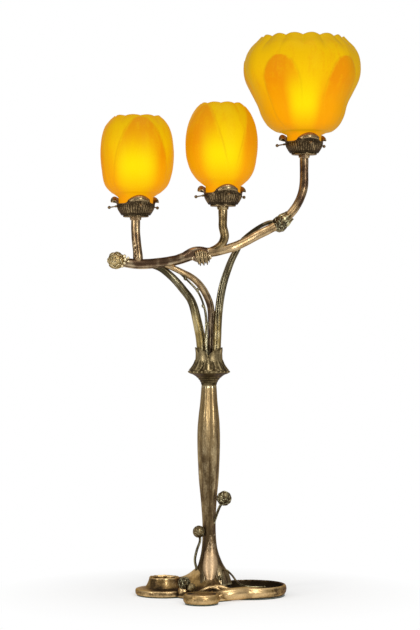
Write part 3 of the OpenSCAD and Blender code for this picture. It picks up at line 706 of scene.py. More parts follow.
# How an open and a closed shade differ: steps of the outline, how far the painted glow reaches
# above and below the bulb in shares of the height, strength of the petals' seams, spread of the
# painted flame
OPEN_LOOKS = (10, 0.22, 0.16, 0.16, 0.1)
CLOSED_LOOKS = (14, 0.24, 0.22, 0.28, 0.3)
# Height of the painted glow's brightest band, at the bulb's middle
BULB_HEIGHT = 68  # where the glow is brightest
OPEN_PETAL_FOOT = 26  # height at which the open shade's outer petals start


def petal_width(side, z, height, half):
    """Half the angle of an outer petal at the height z: half * (1 - t)^0.4, a blunt arch, on the
    closed shades, and half * (4 t (1 - t))^0.45, a long oval, on the open one. Their tips are at
    0.99 and at 0.81 of the shade's height."""
    if side == "right":
        t = np.clip((z - OPEN_PETAL_FOOT) / (0.81 * height - OPEN_PETAL_FOOT), 0, 1)
        return half * (4 * t * (1 - t))**0.45
    t = np.clip((z - NECK_TOP) / (0.99 * height - NECK_TOP), 0, 1)
    return half * (1 - t)**0.4


def shade_piece(side, looks, sizes):
    """Glass shell of overlapping petals. Its outside is the outline turned about the axis, raised
    1 mm on each outer petal and waved by the petals; its rim rises and falls in scallops; its
    inside lies one glass thickness further in. The painted glow of the bulb falls off from the
    bulb's height as exp(-(distance / reach)^2), and the seams follow the petals' edges."""
    height, radius, lean, petals, first, half, scallops = SHADE_FORMS[side]
    is_open = side == "right"
    steps, above, below_bulb, seams, spread_of_flame = OPEN_LOOKS if is_open else CLOSED_LOOKS
    body = smooth_line(np.array(SHADE_OUTLINES[side]) * [height, radius], steps)
    outline = np.vstack([smooth_line(NECK_LINE, 5)[:-1], body])
    z, r = outline[:, 0:1], outline[:, 1:2]
    turn = around(SHADE_SIDES)[None, :]
    spread = TURN / petals
    off = (turn - math.radians(first) + spread / 2) % spread - spread / 2
    width = np.radians(petal_width(side, z, height, half))
    inside = (width - np.abs(off)) * r
    mask = ease(0, 3.5, inside) * ease(NECK_TOP - 1, NECK_TOP + 14, z)
    top = ease(0.3 * height, height, z)
    wave = 0.012 * r * top * np.cos(2 * petals * off)
    crown = PETAL_RAISE * mask * (1 - 0.5 * np.clip(np.abs(off) / np.maximum(width, 0.05), 0, 1)**2)
    grain = noise(np.stack([turn * 40 + 0 * z, z * 0.25 + 0 * turn, 0 * z * turn], -1), 3.0, 4)
    skin = np.where(z > NECK_TOP, -PETAL_GAP + crown + 0.12 * grain, 0)
    skin = skin * ease(NECK_TOP, NECK_TOP + 8, z)
    near_rim = ease(0.8 * height, height, z)
    deep = sizes.scallop if is_open else 0.5 * sizes.scallop
    arches = np.abs(np.sin(scallops * (turn - math.radians(first)) / 2))
    drop = deep * near_rim * (1 - arches**0.8)
    flare = 0.012 * r * near_rim * arches
    outer = np.broadcast_to(r, (len(r), SHADE_SIDES)) + skin + wave + flare - 0.6 * near_rim
    level = z - drop
    slope = unit(np.stack([np.gradient(r[:, 0]), np.gradient(z[:, 0])], -1))
    slope[:NECK_ROWS] = [0, 1]
    inner = outer - GLASS * slope[:, 1:2]
    under = level + GLASS * slope[:, 0:1]
    under[-1:] = level[-1:]
    lip = (outer[-1:] + inner[-1:]) / 2, level[-1:] + 0.9
    radii = np.vstack([outer, lip[0], inner[::-1]])
    levels = np.vstack([level, lip[1], under[::-1]])
    levels[-1] = levels[0]
    soft = ease(-2, 6, inside) * ease(NECK_TOP - 1, NECK_TOP + 14, z)
    tone = np.vstack([soft, soft[-1:], 0.5 * soft[::-1]])
    up = np.clip(3 * (levels - NECK_TOP) / (height - NECK_TOP), 0, 1)
    grid = np.stack([radii * np.sin(turn) + lean * up, -radii * np.cos(turn), levels], -1)
    mesh = Piece().add(grid + FEET[side], tone, loop=True).mesh(side + "_glass_petals")
    # Painted light: a band of glow round the shade, brightest at the bulb's height
    reach = np.where(levels > BULB_HEIGHT, above, below_bulb) * height
    painted_glow = np.exp(-((levels - BULB_HEIGHT) / reach)**2)
    line = seams * np.exp(-(inside / 1.3)**2) * ease(0.3 * height, 0.6 * height, z)
    set_values(mesh, "glow", painted_glow)
    set_values(mesh, "seam", np.vstack([line, line[-1:], 0 * line]))
    edge = looks.edge if is_open else looks.bud_edge
    glass = amber_glass(f"Cased amber glass, {side} shade", FEET[side], height, edge,
                        spread_of_flame, looks)
    finish_piece(side + "_glass_petals", mesh, glass,
                 body=side + " shade", nodes=[side + "_shade"], crease=180)


# --- Holders, bulbs and what they hold ---

PETAL_TURNS = np.radians([-78, 42, 162])
FLOOR = 4  # height of the cup's floor over the holder's foot
CUP_HALF, TIP_HALF = 0.85, 0.55  # half the sheet's thickness, in the cup and at a petal's tip
# Middle of the holder's sheet: radius and height, up the cup, then along a petal to its tip
CUP_LINE = ((19.6, 3.1), (22.4, 7.3), (24.6, 11.2), (25.6, 14.6), (25.8, 17.6))
PETAL_LINE = ((25.8, 17.6), (26.4, 21), (27.6, 25.4), (29.8, 28.2), (32.6, 28.6), (35, 26.6),
              (36, 23.4), (35.4, 21.4))
# The foot below the sheet, and the inside with the ledge that the glass stands on
FOOT_LINE = np.array([[17.2, 0], [17.8, 0.5], [17.9, 1.6], [17.5, 2.6], [18.4, 2.9]])
INSIDE_LINE = np.array([[24.6, 10.2], [23.4, 9.5], [20.5, 9.5], [19.6, 8], [17.4, FLOOR],
                        [9.5, FLOOR]])
INSIDE_SHARE = 0.45  # part of the cup's height, from below, where INSIDE_LINE is the inner wall


def holder_piece(side, sizes):
    """Calyx cup. The sheet's middle line climbs the cup and runs on along a petal; at each angle
    it is cut off at the share of the petal that the petal's outline gives there, and the sheet has
    its thickness on both sides. Grooves round the cup are (1 + cos(n angle)) / 2 deep."""
    sides, up, along = 396, 26, 26
    turn = around(sides)[None, :]
    off = np.min(np.abs((turn[None] - PETAL_TURNS[:, None, None] + math.pi) % TURN - math.pi), 0)
    bell = np.where(off < math.radians(56), np.cos(1.6 * off)**2, 0)
    reach = 0.3 + 0.7 * ease(0.15, 0.8, bell)
    cup = smooth_line(CUP_LINE, 8)
    petal = smooth_line(PETAL_LINE, 10)
    shares = np.linspace(0, 1, along)[:, None] * reach * (len(petal) - 1)
    steps = np.arange(len(petal))
    bottom = np.linspace(0, len(cup) - 1, up)[:, None] + 0 * turn
    petal_r = np.interp(shares, steps, petal[:, 0] - petal[0, 0])[1:] * (0.25 + 0.75 * bell)
    petal_z = np.interp(shares, steps, petal[:, 1] - petal[0, 1])[1:] * np.maximum(bell, 0.05)
    line_r = np.vstack([np.interp(bottom, np.arange(len(cup)), cup[:, 0]), petal[0, 0] + petal_r])
    line_z = np.vstack([np.interp(bottom, np.arange(len(cup)), cup[:, 1]), petal[0, 1] + petal_z])
    rise = np.stack([np.gradient(line_r, axis=0), np.gradient(line_z, axis=0)], -1)
    out_r, out_z = np.moveaxis(unit(np.stack([rise[..., 1], -rise[..., 0]], -1)), -1, 0)
    thinning = np.linspace(CUP_HALF, TIP_HALF, along - 1)
    half = np.concatenate([np.full(up, CUP_HALF), thinning])[:, None]
    body = ease(3.2, 6, line_z) * (1 - ease(14, 18, line_z)) * (line_r < 27)
    flute = sizes.flute_depth * (0.5 + 0.5 * np.cos(sizes.flutes * turn)) * body
    vein = -0.12 * np.cos(off * 60) * ease(0.1, 0.5, bell) * (1 - ease(0.8, 1, bell))
    vein = vein * ease(16, 20, line_z)
    front_r = line_r + out_r * (half + vein) - flute
    front_z = line_z + out_z * (half + vein)
    back_r, back_z = line_r - out_r * half, line_z - out_z * half
    foot_r, foot_z = (FOOT_LINE[:, k:k + 1] + 0 * turn for k in range(2))
    in_r, in_z = (INSIDE_LINE[:, k:k + 1] + 0 * turn for k in range(2))
    left_out = int(up * INSIDE_SHARE)
    tip_r = (front_r[-1:] + back_r[-1:]) / 2 + rise[-1:, :, 0] * 0.3
    tip_z = (front_z[-1:] + back_z[-1:]) / 2 + rise[-1:, :, 1] * 0.3
    radii = np.vstack([foot_r, front_r, tip_r, back_r[::-1][:-left_out], in_r])
    levels = np.vstack([foot_z, front_z, tip_z, back_z[::-1][:-left_out], in_z])
    grid = np.stack([radii * np.cos(turn), radii * np.sin(turn), levels], -1)
    tone = 0.2 + 0.8 * ease(24, 28, levels)
    mesh = Piece().add(grid + FEET[side], tone).mesh(side + "_calyx")
    wear(mesh, reach=0.45)
    # Painted shade: the foot below the cup is made darker
    rub(mesh, np.append(-0.4 * (1 - ease(3, 5.5, levels)).ravel(), [0, 0]))
    finish_piece(side + "_calyx", mesh, finish_of("dark_patina"),
                 nodes=[side + "_holder"])


# Outline of a bulb: share of its length, share of its radius
BULB_OUTLINE = ((0.0, 0.34), (0.01, 0.39), (0.06, 0.45), (0.24, 0.68), (0.46, 0.92), (0.66, 1),
                (0.80, 0.93), (0.91, 0.70), (0.975, 0.38), (1, 0.06))


def bulb_piece(side):
    """Bulb glass: a pear outline turned about the axis."""
    low, high = corners(side + "_bulb")
    radius, length = (high[0] - low[0]) / 2, high[2] - low[2]
    line = smooth_line(BULB_OUTLINE, 6)
    profile = np.stack([line[:, 1] * radius, low[2] + line[:, 0] * length], -1)
    middle = (low + high) / 2
    mesh = Piece().add(revolved(profile, (middle[0], middle[1], 0), 64)).mesh(side + "_bulb_glass")
    finish_piece(side + "_bulb_glass", mesh, lit_bulb(f"Lit bulb, {side}"),
                 body=side + " bulb", nodes=[side + "_bulb"], crease=180)


# --- Arm, stems and branches ---


def below(side, depth, radius):
    """Point of a stem's line under a light's foot."""
    return [*(FEET[side] - [0, 0, depth]), radius]


def ferrule(side, radius):
    """Last points of a stem's line: it narrows and flares into its ferrule."""
    return [below(side, 7, radius), below(side, 4.4, 0.97 * radius), below(side, 4, 7.4),
            below(side, 0.6, 8.1), below(side, 0.05, 7.9)]


def arm_piece():
    """Bowed arm and the right shade's stem in one sweep: dark to the left, golden to the right."""
    line = smooth_line([
        [-125, -12, 465, 5.4], [-115, -12, 463, 6.5], [-94, -12, 461.3, 7], [-68, -14, 463, 7],
        [-47, -17, 466.3, 7.1], [-30, -20, 471.8, 7.3], [-16, -23, 476.8, 7.3],
        [-2, -25.5, 477, 6.8], [9, -27, 478.3, 6.6], [22, -28, 481.3, 6.3], [37, -26, 486, 6.2],
        [52, -22, 493, 6.2], [66, -17, 500.8, 6.2], [86, -9, 511, 6.2], [100, -3.5, 519, 6.2],
        [111, 2.5, 529, 6], [121, 8, 541, 6], [129, 13.5, 556, 6.1], [133.5, 17, 573, 6.2],
        below("right", 19, 6.2), *ferrule("right", 6.2)], 10)
    grid = carried(line, ribbed(3, 0.045, 0.003, 0.0015, FRONT - 0.75, 0.1, 3), 96)
    tone = 0.15 + 0.85 * ease(-40, 30, grid[..., 0]) * (1 - 0.75 * ease(116, 130, grid[..., 0]))
    cast(Piece().add(grid, tone), "bowed_arm", "brown_patina", "main_arm")


def left_stem_piece():
    """Left shade's stem, notched at the right of its foot where it flares on to the arm."""
    line = smooth_line([
        [-98.2, -12, 461, 3.6], [-98.4, -12, 465.5, 5.6], [-98.6, -12, 469.6, 7],
        [-99, -12, 476, 6.7], [-99.6, -12, 482, 6.4], [-101, -12, 494, 6.3],
        below("left", 19, 6.3), *ferrule("left", 6.3)], 16)
    tube = ribbed(3, 0.05, 0.003, 0.003, FRONT - 0.9, 0.13, 5)

    def section(a, way):
        """The ribbed tube less the notch, which is scalloped on its way up."""
        notch = np.exp(-((a - FRONT - 0.65) / 0.3)**2) * ease(6, 10, way) * (1 - ease(24, 34, way))
        return tube(a, way) - 0.14 * notch * (0.5 + 0.5 * np.cos(way * 1.05))

    cast(Piece().add(carried(line, section, 96)), "left_stem_rib", "brown_patina", "left_stem")


def middle_stem_piece():
    """Middle shade's stem: a ribbed tube that rises out of the knot."""
    line = smooth_line([
        [2, -26.4, 480.6, 3.8], [11, -27.6, 483.6, 5], [18.6, -28.8, 490, 5.8],
        [22, -29.6, 500, 6], below("middle", 28, 6), below("middle", 19, 6),
        *ferrule("middle", 6.3)], 12)
    part = Piece().add(carried(line, ribbed(3, 0.05, 0.003, -0.004, FRONT + 0.9, 0.14, 6), 64))
    cast(part, "middle_stem_rib", "olive_patina", "middle_stem")


# Lines of the branches and the twig: places and radii, from the foot up
BRANCH_LINES = {
    "left_branch": [
        [-9, -1, FOOT_Z, 6.3], [-11, -2, 352, 6.6], [-17.2, -4, 385, 6.2], [-24, -6, 409, 6.1],
        [-35, -9, 425, 6], [-50, -11, 442, 5.7], [-66, -12, 455, 5.2], [-80, -12, 460, 4.2]],
    "middle_branch": [
        [2.4, 7, FOOT_Z, 5.2], [3.8, 7, 345, 5.3], [3.6, 5, 375, 5], [2.4, 3, 401, 5],
        [-4, -1, 419, 5.1], [-13, -5, 433, 5.1], [-24, -9, 443, 4.9], [-37, -13, 450, 4.6],
        [-51, -15.5, 456.5, 4.2], [-64, -15, 461, 3.4]],
    "right_branch": [
        [9.9, -2, FOOT_Z, 5.3], [11.4, -2, 353, 5.3], [13.6, -1, 395, 5.3], [19, 1, 430, 5.4],
        [29, 3, 461, 5.2], [38, 4, 480, 4.9], [48, 4, 496, 3.9], [67, 1, 512, 3.1],
        [85, -2, 520.5, 3], [97, -3, 519, 3]],
}
TWIG_LINE = [
    [-1.6, -8, FOOT_Z, 2.4], [-3.6, -9, 352, 2.5], [-4.2, -10, 388, 1.8], [-8.6, -11, 408, 1.5],
    [-17, -13, 425, 1.5], [-32, -15, 441, 1.5], [-47, -16.4, 454, 1.4], [-60, -15, 462, 1.4]]


def branch_piece(node, finish, twist, groove_at, seed, tone_up):
    """Grown branch: a grooved, slowly twisting section carried along the branch's line."""
    line = smooth_line(BRANCH_LINES[node], 14)
    grid = carried(line, ribbed(2, 0.07, 0.006, twist, groove_at, 0.2, seed), 64)
    # The middle branch's tone rises with height, darker low down where it runs behind the other
    # two: painted shade. The outer branches grow paler towards their feet.
    tone = ease(350, 470, grid[..., 2]) if tone_up else 1 - ease(340, 440, grid[..., 2])
    cast(Piece().add(grid, tone), node + "_rib", finish, node)


def twig_piece():
    """Thin twig: a lightly ribbed tube with a pointed bud of scales at each bend."""
    line = smooth_line(TWIG_LINE, 12)
    part = Piece().add(carried(line, ribbed(3, 0.05, 0.0, 0.05), 24), 0.0)
    for k, lean in ((20, 0.5), (32, -0.6), (48, 0.5), (60, -0.5), (72, 0.4)):
        place = line[k, :3] + [1.2 * np.sign(lean), -0.6, 0.6]
        part.add(scaled_ball(2.5, place, axes_along([lean, -0.3, 1]), (3, 4, 3), lift=0.4,
                             stretch=1.4, rows=28, sides=36), 0.0)
    cast(part, "budded_twig", "stem_patina", "thin_twig", reach=0.12)


def end_bud_piece():
    """Opening bud on the arm's left end, turned to the front: rings of scales round a bright boss,
    and a row of small curls that hold it to the arm."""
    part = Piece()
    place = np.array([-129.5, -13, 466.6])
    turn = axes_along([-0.2, -1, 0.1])
    ball = scaled_ball(12.9, place, turn, (5, 6, 7, 7, 6), lift=2.6, stretch=0.86, rows=130,
                       sides=180)
    part.add(ball, ease(-8, -24, ball[..., 1]) * 0.8)
    part.add(bead((0, 0, 10.2), 2.6, 14, 24) @ turn + place, 1.0)
    ring = np.stack([4.4 * np.cos(around(60)), 4.4 * np.sin(around(60)), 0 * around(60) + 9.6,
                     0 * around(60) + 0.9], -1)
    part.add(carried(ring, round_section, 12), 1.0, loop=True)
    for k, (x, z, r) in enumerate(((-117.6, 472.4, 2.5), (-116.6, 467.8, 2.7), (-117.4, 463, 2.4),
                                   (-112.4, 470, 1.9), (-112, 465.4, 1.9), (-120.6, 458.6, 2.2))):
        part.add(bead((x, -19 + 0.8 * k % 2, z), r, 12, 18), 0.9)
    cast(part, "end_bud_scales", "bright_olive", "arm_end_bud")


def middle_knot_piece():
    """Knot where the middle stem leaves the arm: a smooth hump along the arm's top, and a sheaf of
    pointed leaves that wraps down round the front, crossing, to ragged tips under the arm."""
    part = Piece()
    line = smooth_line([
        [-38, -19.2, 470, 5.2], [-30, -20.8, 473.4, 7.2], [-21, -22.4, 476.4, 8.4],
        [-13, -23.6, 477, 8.8], [-6, -24.8, 476.4, 8.2], [1, -25.8, 477, 6.6]], 10)
    part.add(carried(line, ribbed(2, 0.03, 0.006, 0.01), 72), 0.15)
    under = smooth_line([[-22, -23.4, 472, 5], [-14, -25.6, 470, 6.6], [-6, -26.6, 470.4, 6.6],
                         [2, -27, 474, 5]], 8)
    part.add(carried(under, ribbed(2, 0.03, 0.006, 0.01), 48), 0.0)
    for k, drop in enumerate((1.6, 0, 2.4, 0.4, 3.2, 1.4, 5)):
        x, tip = -20 + 2.9 * k, -14 + 2.4 * k
        top = 479 + 4 * math.sin(math.pi * (k + 0.6) / 7)
        front = -33.2 - 0.9 * (k % 2)
        leaf = smooth_line([
            [x, -26.6, top, 1.2], [0.8 * x + 0.2 * tip, front + 1.6, top - 4.5, 1.9],
            [0.5 * (x + tip), front, 0.5 * top + 0.5 * (458.6 + drop), 2.1],
            [0.15 * x + 0.85 * tip, front + 0.6, 463 + drop, 1.6],
            [tip, front + 3.4, 458.6 + drop, 0.4]], 8)
        grid = carried(leaf, ribbed(2, 0.16, 0.0, 0.09), 28)
        part.add(grid, 0.5 * (k % 2) + 0.1 * ease(462, 480, grid[..., 2]))
    cast(part, "middle_knot_leaves", "brown_patina", "middle_knot", other="dark_patina", first=2)


def right_knot_piece():
    """Bud-shaped knot where the right branch meets the arm: a ball of overlapping scales, and
    sepals that close round the stem above it."""
    part = Piece()
    place = np.array([98.6, -4, 517.6])
    turn = axes_along([0.75, 0.25, 0.62])
    part.add(scaled_ball(11.8, place, turn, (5, 6, 7, 7, 6, 5), lift=1.8, rows=110, sides=168),
             0.2)
    sheath = [(8.6, 4), (9.4, 8), (8.4, 12), (7.2, 16.5), (7.4, 19.5)]
    for k in range(5):
        leaf = sepal(sheath, 0.3 + TURN * k / 5, oval(34, 0.12, 0.86), lift=0.1, thick=1.0)
        part.add(leaf @ turn + place, 0.7)
    cast(part, "right_knot_sepals", "pod_patina", "right_knot")


# --- Leaf collar and column ---


def collar_piece(sizes):
    """Leaf collar: a veined skirt with a beaded rim over a ringed neck, and three sepals that
    stand up from its waist round the branches' feet and turn out at their tips."""
    part = Piece()
    rim, top = COLLAR_RIM, COLLAR_TOP
    outer = smooth_line([
        [10.3, COLUMN_TOP + 0.2], [10.9, COLUMN_TOP + 3], [12.2, COLUMN_TOP + 6.4],
        [14.2, COLUMN_TOP + 9.4], [17.4, COLUMN_TOP + 12.8], [22, rim - 4], [26.6, rim - 2.2],
        [28.4, rim - 0.6], [28.6, rim + 1], [26.4, rim + 3.6], [22.8, rim + 8.6],
        [20, rim + 13.4], [18.6, rim + 18], [18.2, rim + 22], [17.6, rim + 23]], 8)
    inner = np.array([[16.2, rim + 22.6], [15.8, rim + 14], [15.6, COLUMN_TOP + 16]])

    def veins(a, z):
        """Veins 0.42 mm high round the skirt, and rings 3.1 mm apart round the neck."""
        skirt = ease(rim + 1, rim + 6, z) * (1 - ease(rim + 17, rim + 21, z))
        neck = ease(COLUMN_TOP + 1, COLUMN_TOP + 3, z) * (1 - ease(rim - 8, rim - 4, z))
        rings = 0.25 * np.cos((z - COLUMN_TOP) * TURN / 3.1) * neck
        return 0.42 * np.cos(27 * a + 0.4 * np.sin(z)) * skirt + rings

    part.add(revolved(np.vstack([outer, inner]), (0, 0, 0), 216, veins), 0.3)
    line = [(19.6, rim + 12), (18.9, rim + 18), (18.6, rim + 25), (19.2, rim + 30),
            (20.4, top - 1.2), (22.4, top - 0.4)]

    def broad(s):
        """Half angle of a standing sepal: 60 degrees at its foot, a point at its tip."""
        return math.radians(60) * (1 - 0.12 * s - 0.88 * ease(0.25, 1.0, s)**1.2)

    for k in range(3):
        leaf = sepal(line, math.radians(-32 + 120 * k), broad, lift=-0.6, thick=0.95, rib=0.7,
                     rows=40, sides=48)
        part.add(leaf, 0.35 * ease(rim + 22, top, leaf[..., 2]))
    low = [(27.4, rim + 2.2), (24.4, rim + 5.8), (21, rim + 11.4), (19, rim + 17)]
    for k in range(9):
        part.add(sepal(low, math.radians(-12 + 40 * k), oval(17, 0.1, 0.88), lift=0.05, thick=0.8,
                       rows=24, sides=20))
    for k in range(sizes.beads):
        a = TURN * k / sizes.beads
        part.add(bead((28.1 * math.cos(a), 28.1 * math.sin(a), rim + 0.2), 1.5), 1.0)
    part.add(bead((-1, -20.6, rim + 12), 2.2, 12, 16), 1.0)
    cast(part, "collar_sepals", "collar_patina", "leaf_collar", reach=0.4)


def column_piece():
    """Column: six soft ridges, turned 6 degrees from the front, with fine lines that waver up the
    shaft; its front ridge ends below in a smooth knee whose tip points down on to the root."""
    line = smooth_line([
        [3, 0, 14, 27.5], [3.6, 0, 29, 22.5], [2, 0, 45, 15.2], [0.6, 0, 67, 9.9], [0, 0, 98, 8.7],
        [-0.3, 0, 129, 10.3], [-0.4, 0, 161, 13], [-0.4, 0, 206, 14.8], [-0.4, 0, 237, 14.4],
        [-0.2, 0, 269, 11.4], [0, 0, COLUMN_TOP + 0.5, 9.9]], 16)

    def section(a, way):
        """1 + 0.07 cos(6 a) with narrow creases between the ridges, fine lines and an uneven
        skin."""
        turned = a + math.radians(6)
        deep = np.cos(6 * turned)
        shape = 1 + 0.07 * deep - 0.012 * np.exp(-((1 + deep) / 0.12)**2)
        lines = 0.004 * np.cos(54 * a + 0.8 * np.sin(way / 17) + 0.5 * np.sin(way / 5.3))
        place = [3 * np.cos(a) + 0 * way, 3 * np.sin(a) + 0 * way, way / 8 + 0 * a]
        return shape + lines + 0.01 * noise(np.stack(place, -1), 1.3, 9)

    grid = carried(line, section, 216, level=True)
    # Painted highlight: the patina grows lighter towards the top of the shaft
    part = Piece().add(grid, 0.3 + 0.7 * ease(180, 280, grid[..., 2]))
    knee = [(29.6, 10), (27, 18), (23.4, 29), (18.2, 42), (13.3, 56), (10.2, 74), (9.2, 84)]

    def flaring(s):
        """Half angle of the knee: a tip below that flares to 52 degrees above."""
        return np.interp(s, (0, 0.12, 0.3, 0.5, 0.68, 0.85, 1),
                         np.radians((2, 6, 18, 38, 46, 50, 52)))

    thick = 0.6 + 4.4 * (1 - ease(0.4, 1, np.linspace(0, 1, 72)))
    leaf = sepal(knee, -0.5 * math.pi - 0.04, flaring, lift=-1.4, thick=thick, rib=0.0, rows=72,
                 sides=60)
    # Painted highlight: a broad pale patch low on the knee, fading upwards and towards its sides
    knee_highlight = (1 - ease(48, 76, leaf[..., 2])) * (1 - 0.7 * np.cos(around(60))**6)
    part.add(leaf + [2.4, 0, 0], knee_highlight)
    cast(part, "ridged_column", "shaft_patina", "column", reach=0.3, other="knee_highlight_bronze")


# --- Base and what grows on it ---

# Reach of the root from the column's axis, every 30 degrees round from the right
ROOT_REACH = (34, 33, 35, 36, 38, 46, 60, 62, 66, 88, 74, 48)
# Direction of each ridge of the root, where it starts and ends, its heights there and its width
ROOT_RIDGES = ((187, 12, 46, 23, 17.5, 12), (30, 12, 46, 14, 5, 11), (264, 12, 84, 8, 4, 14),
               (288, 12, 62, 13, 7, 13), (90, 12, 34, 6, 7, 12))


def root_reach(angle):
    """Reach of the root at an angle: a smooth closed line through values 30 degrees apart."""
    n = len(ROOT_REACH)
    at = (angle / TURN * n) % n
    i = np.floor(at).astype(int)
    t = at - i
    return cubic(*(np.array(ROOT_REACH, float)[(i + k) % n] for k in (-1, 0, 1, 2)), t)


def root_height(x, y):
    """Height of the root's top: a seat that falls away from the column, and rounded ridges."""
    d = np.hypot(x, y)
    z = 6.5 + 7.5 * np.exp(-(np.maximum(d - 16, 0) / 12)**2)
    for turn, start, end, first, last, width in ROOT_RIDGES:
        c, s = math.cos(math.radians(turn)), math.sin(math.radians(turn))
        along, across = x * c + y * s, y * c - x * s
        t = np.clip((along - start) / (end - start), 0, 1)
        tall = (first + (last - first) * t) * np.clip(along / start, 0, 1)
        z = z + tall * np.exp(-(across / width)**2)
    return z


def root_surface():
    """Root: its height over rings from its middle to its edge, then down to the felt."""
    a = around(240)[None, :]
    reach = root_reach(a)
    share = np.linspace(0.1, 1, 44)[:, None]**0.9
    d = share * (reach - 1.5)
    x, y = d * np.cos(a), d * np.sin(a)
    z = root_height(x, y) + 0.8 * noise(np.stack([x, y, 0 * x], -1), 7.0, 12)
    x = np.vstack([x, reach * np.cos(a), (reach - 0.5) * np.cos(a)])
    y = np.vstack([y, reach * np.sin(a), (reach - 0.5) * np.sin(a)])
    z = np.vstack([z, 0 * a + 4, 0 * a + FELT_TOP])
    return np.stack([x, y, z], -1)


def dish_place():
    """Middle of the dish, its radius and its height. Its node runs on into the root on the left,
    so the radius is taken from its depth."""
    low, high = corners("base_dish")
    radius = (high[1] - low[1]) / 2
    return (high[0] - radius, (high[1] + low[1]) / 2), radius, high[2]


def pad_waves(a, z):
    """Uneven outline of the left pad: 0.35 sin(3 a + 1), and folds of 0.3 mm up its upper tier."""
    return 0.35 * np.sin(3 * a + 1) + 0.3 * np.cos(9 * a) * ease(9, 14, z)


def dish_waves(a, z):
    """Uneven outline of the dish's wall: 0.4 sin(2 a)."""
    return 0.4 * np.sin(2 * a) * ease(3, 8, z)


def base_piece():
    """The base's casting: the root, the left two-tier pad, the dish, the front pad, the web that
    runs from the root into the dish's front, and two folds behind the front pad."""
    part = Piece().add(root_surface())
    (px, py), pr, ph = pad_place("base_left_pad")
    bowl = 0.57 * pr
    part.add(revolved(smooth_line([
        [pr - 2, FELT_TOP], [pr, 3.2], [pr, 8.4], [pr - 1, 9.4], [pr - 6, 10], [bowl + 5, 11.2],
        [bowl + 2, 14], [bowl - 0.4, 19], [bowl - 1.8, ph - 2.6], [bowl - 1.8, ph - 0.6],
        [bowl - 2.4, ph], [bowl - 3.8, ph - 0.4], [bowl - 4.4, ph - 2.4], [bowl - 5.5, ph - 7],
        [4, ph - 8]], 5), (px, py, 0), 144, pad_waves))
    (dx, dy), dish_r, dh = dish_place()
    part.add(revolved(smooth_line([
        [dish_r - 5, FELT_TOP], [dish_r - 1.6, 4], [dish_r, 8.5], [dish_r - 0.4, dh - 2.4],
        [dish_r - 1.6, dh - 0.4], [dish_r - 3, dh], [dish_r - 4.4, dh - 1.2],
        [dish_r - 5.4, dh - 5], [dish_r - 7.4, 7.4], [dish_r - 12, 5.4], [6, 5.2]], 5),
        (dx, dy, 0), 168, dish_waves))
    (fx, fy), fr, fh = pad_place("base_front_pad")
    part.add(revolved(smooth_line([
        [fr - 3, FELT_TOP], [fr - 0.6, 4], [fr, 7.2], [fr - 0.8, fh - 3.4], [fr - 2.6, fh - 0.4],
        [fr - 4, fh], [fr - 6.4, fh - 1.6], [2, fh - 2.4]], 6), (fx, fy, 0), 120))
    web_end = [[dx + (dish_r - gap) * math.cos(t), dy + (dish_r - gap) * math.sin(t), 9, size]
               for t, gap, size in ((-1.4, 7.6, 8.2), (-1.13, 6.6, 7), (-0.88, 5, 5.2),
                                    (-0.66, 3.6, 3.4))]
    for line in (
            [[4, -70, 7.2, 6.6], [20, -75, 8.6, 7.8], [35, -71, 9.4, 8.6], [50, -61, 9.4, 8.6],
             *web_end],
            [[-14, -62, 11, 1.4], [-6, -67, 15, 2.4], [3, -69.5, 18, 2.8], [11, -72, 16.4, 2.6],
             [19, -77, 12, 1.6]],
            [[4, -56, 10, 3], [8, -61, 17, 3.6], [16, -65, 17.6, 3.4], [28, -66, 14.5, 2.6]]):
        part.add(carried(smooth_line(line, 8), round_section, 24))
    part.add(bead((-35, -44, 9), 8.2, 16, 24))
    return part


def grown_together(part, voxel, passes):
    """One mesh of a piece's overlapping surfaces, and its points: a voxel remesh, then each point
    is drawn half way to the middle of its neighbours the given number of times."""
    raw = bpy.data.objects.new("casting", part.mesh("casting"))
    bpy.context.scene.collection.objects.link(raw)
    remesh = raw.modifiers.new("remesh", "REMESH")
    remesh.mode = "VOXEL"
    remesh.voxel_size = voxel * MM
    graph = bpy.context.evaluated_depsgraph_get()
    mesh = bpy.data.meshes.new_from_object(raw.evaluated_get(graph))
    bpy.data.objects.remove(raw)
    points = averaged(read(mesh.vertices, "co", 3), read(mesh.edges, "vertices", 2, int), passes)
    mesh.vertices.foreach_set("co", points.astype(np.float32).ravel())
    mesh.polygons.foreach_set("use_smooth", np.ones(len(mesh.polygons), bool))
    mesh.update()
    return mesh, points / MM


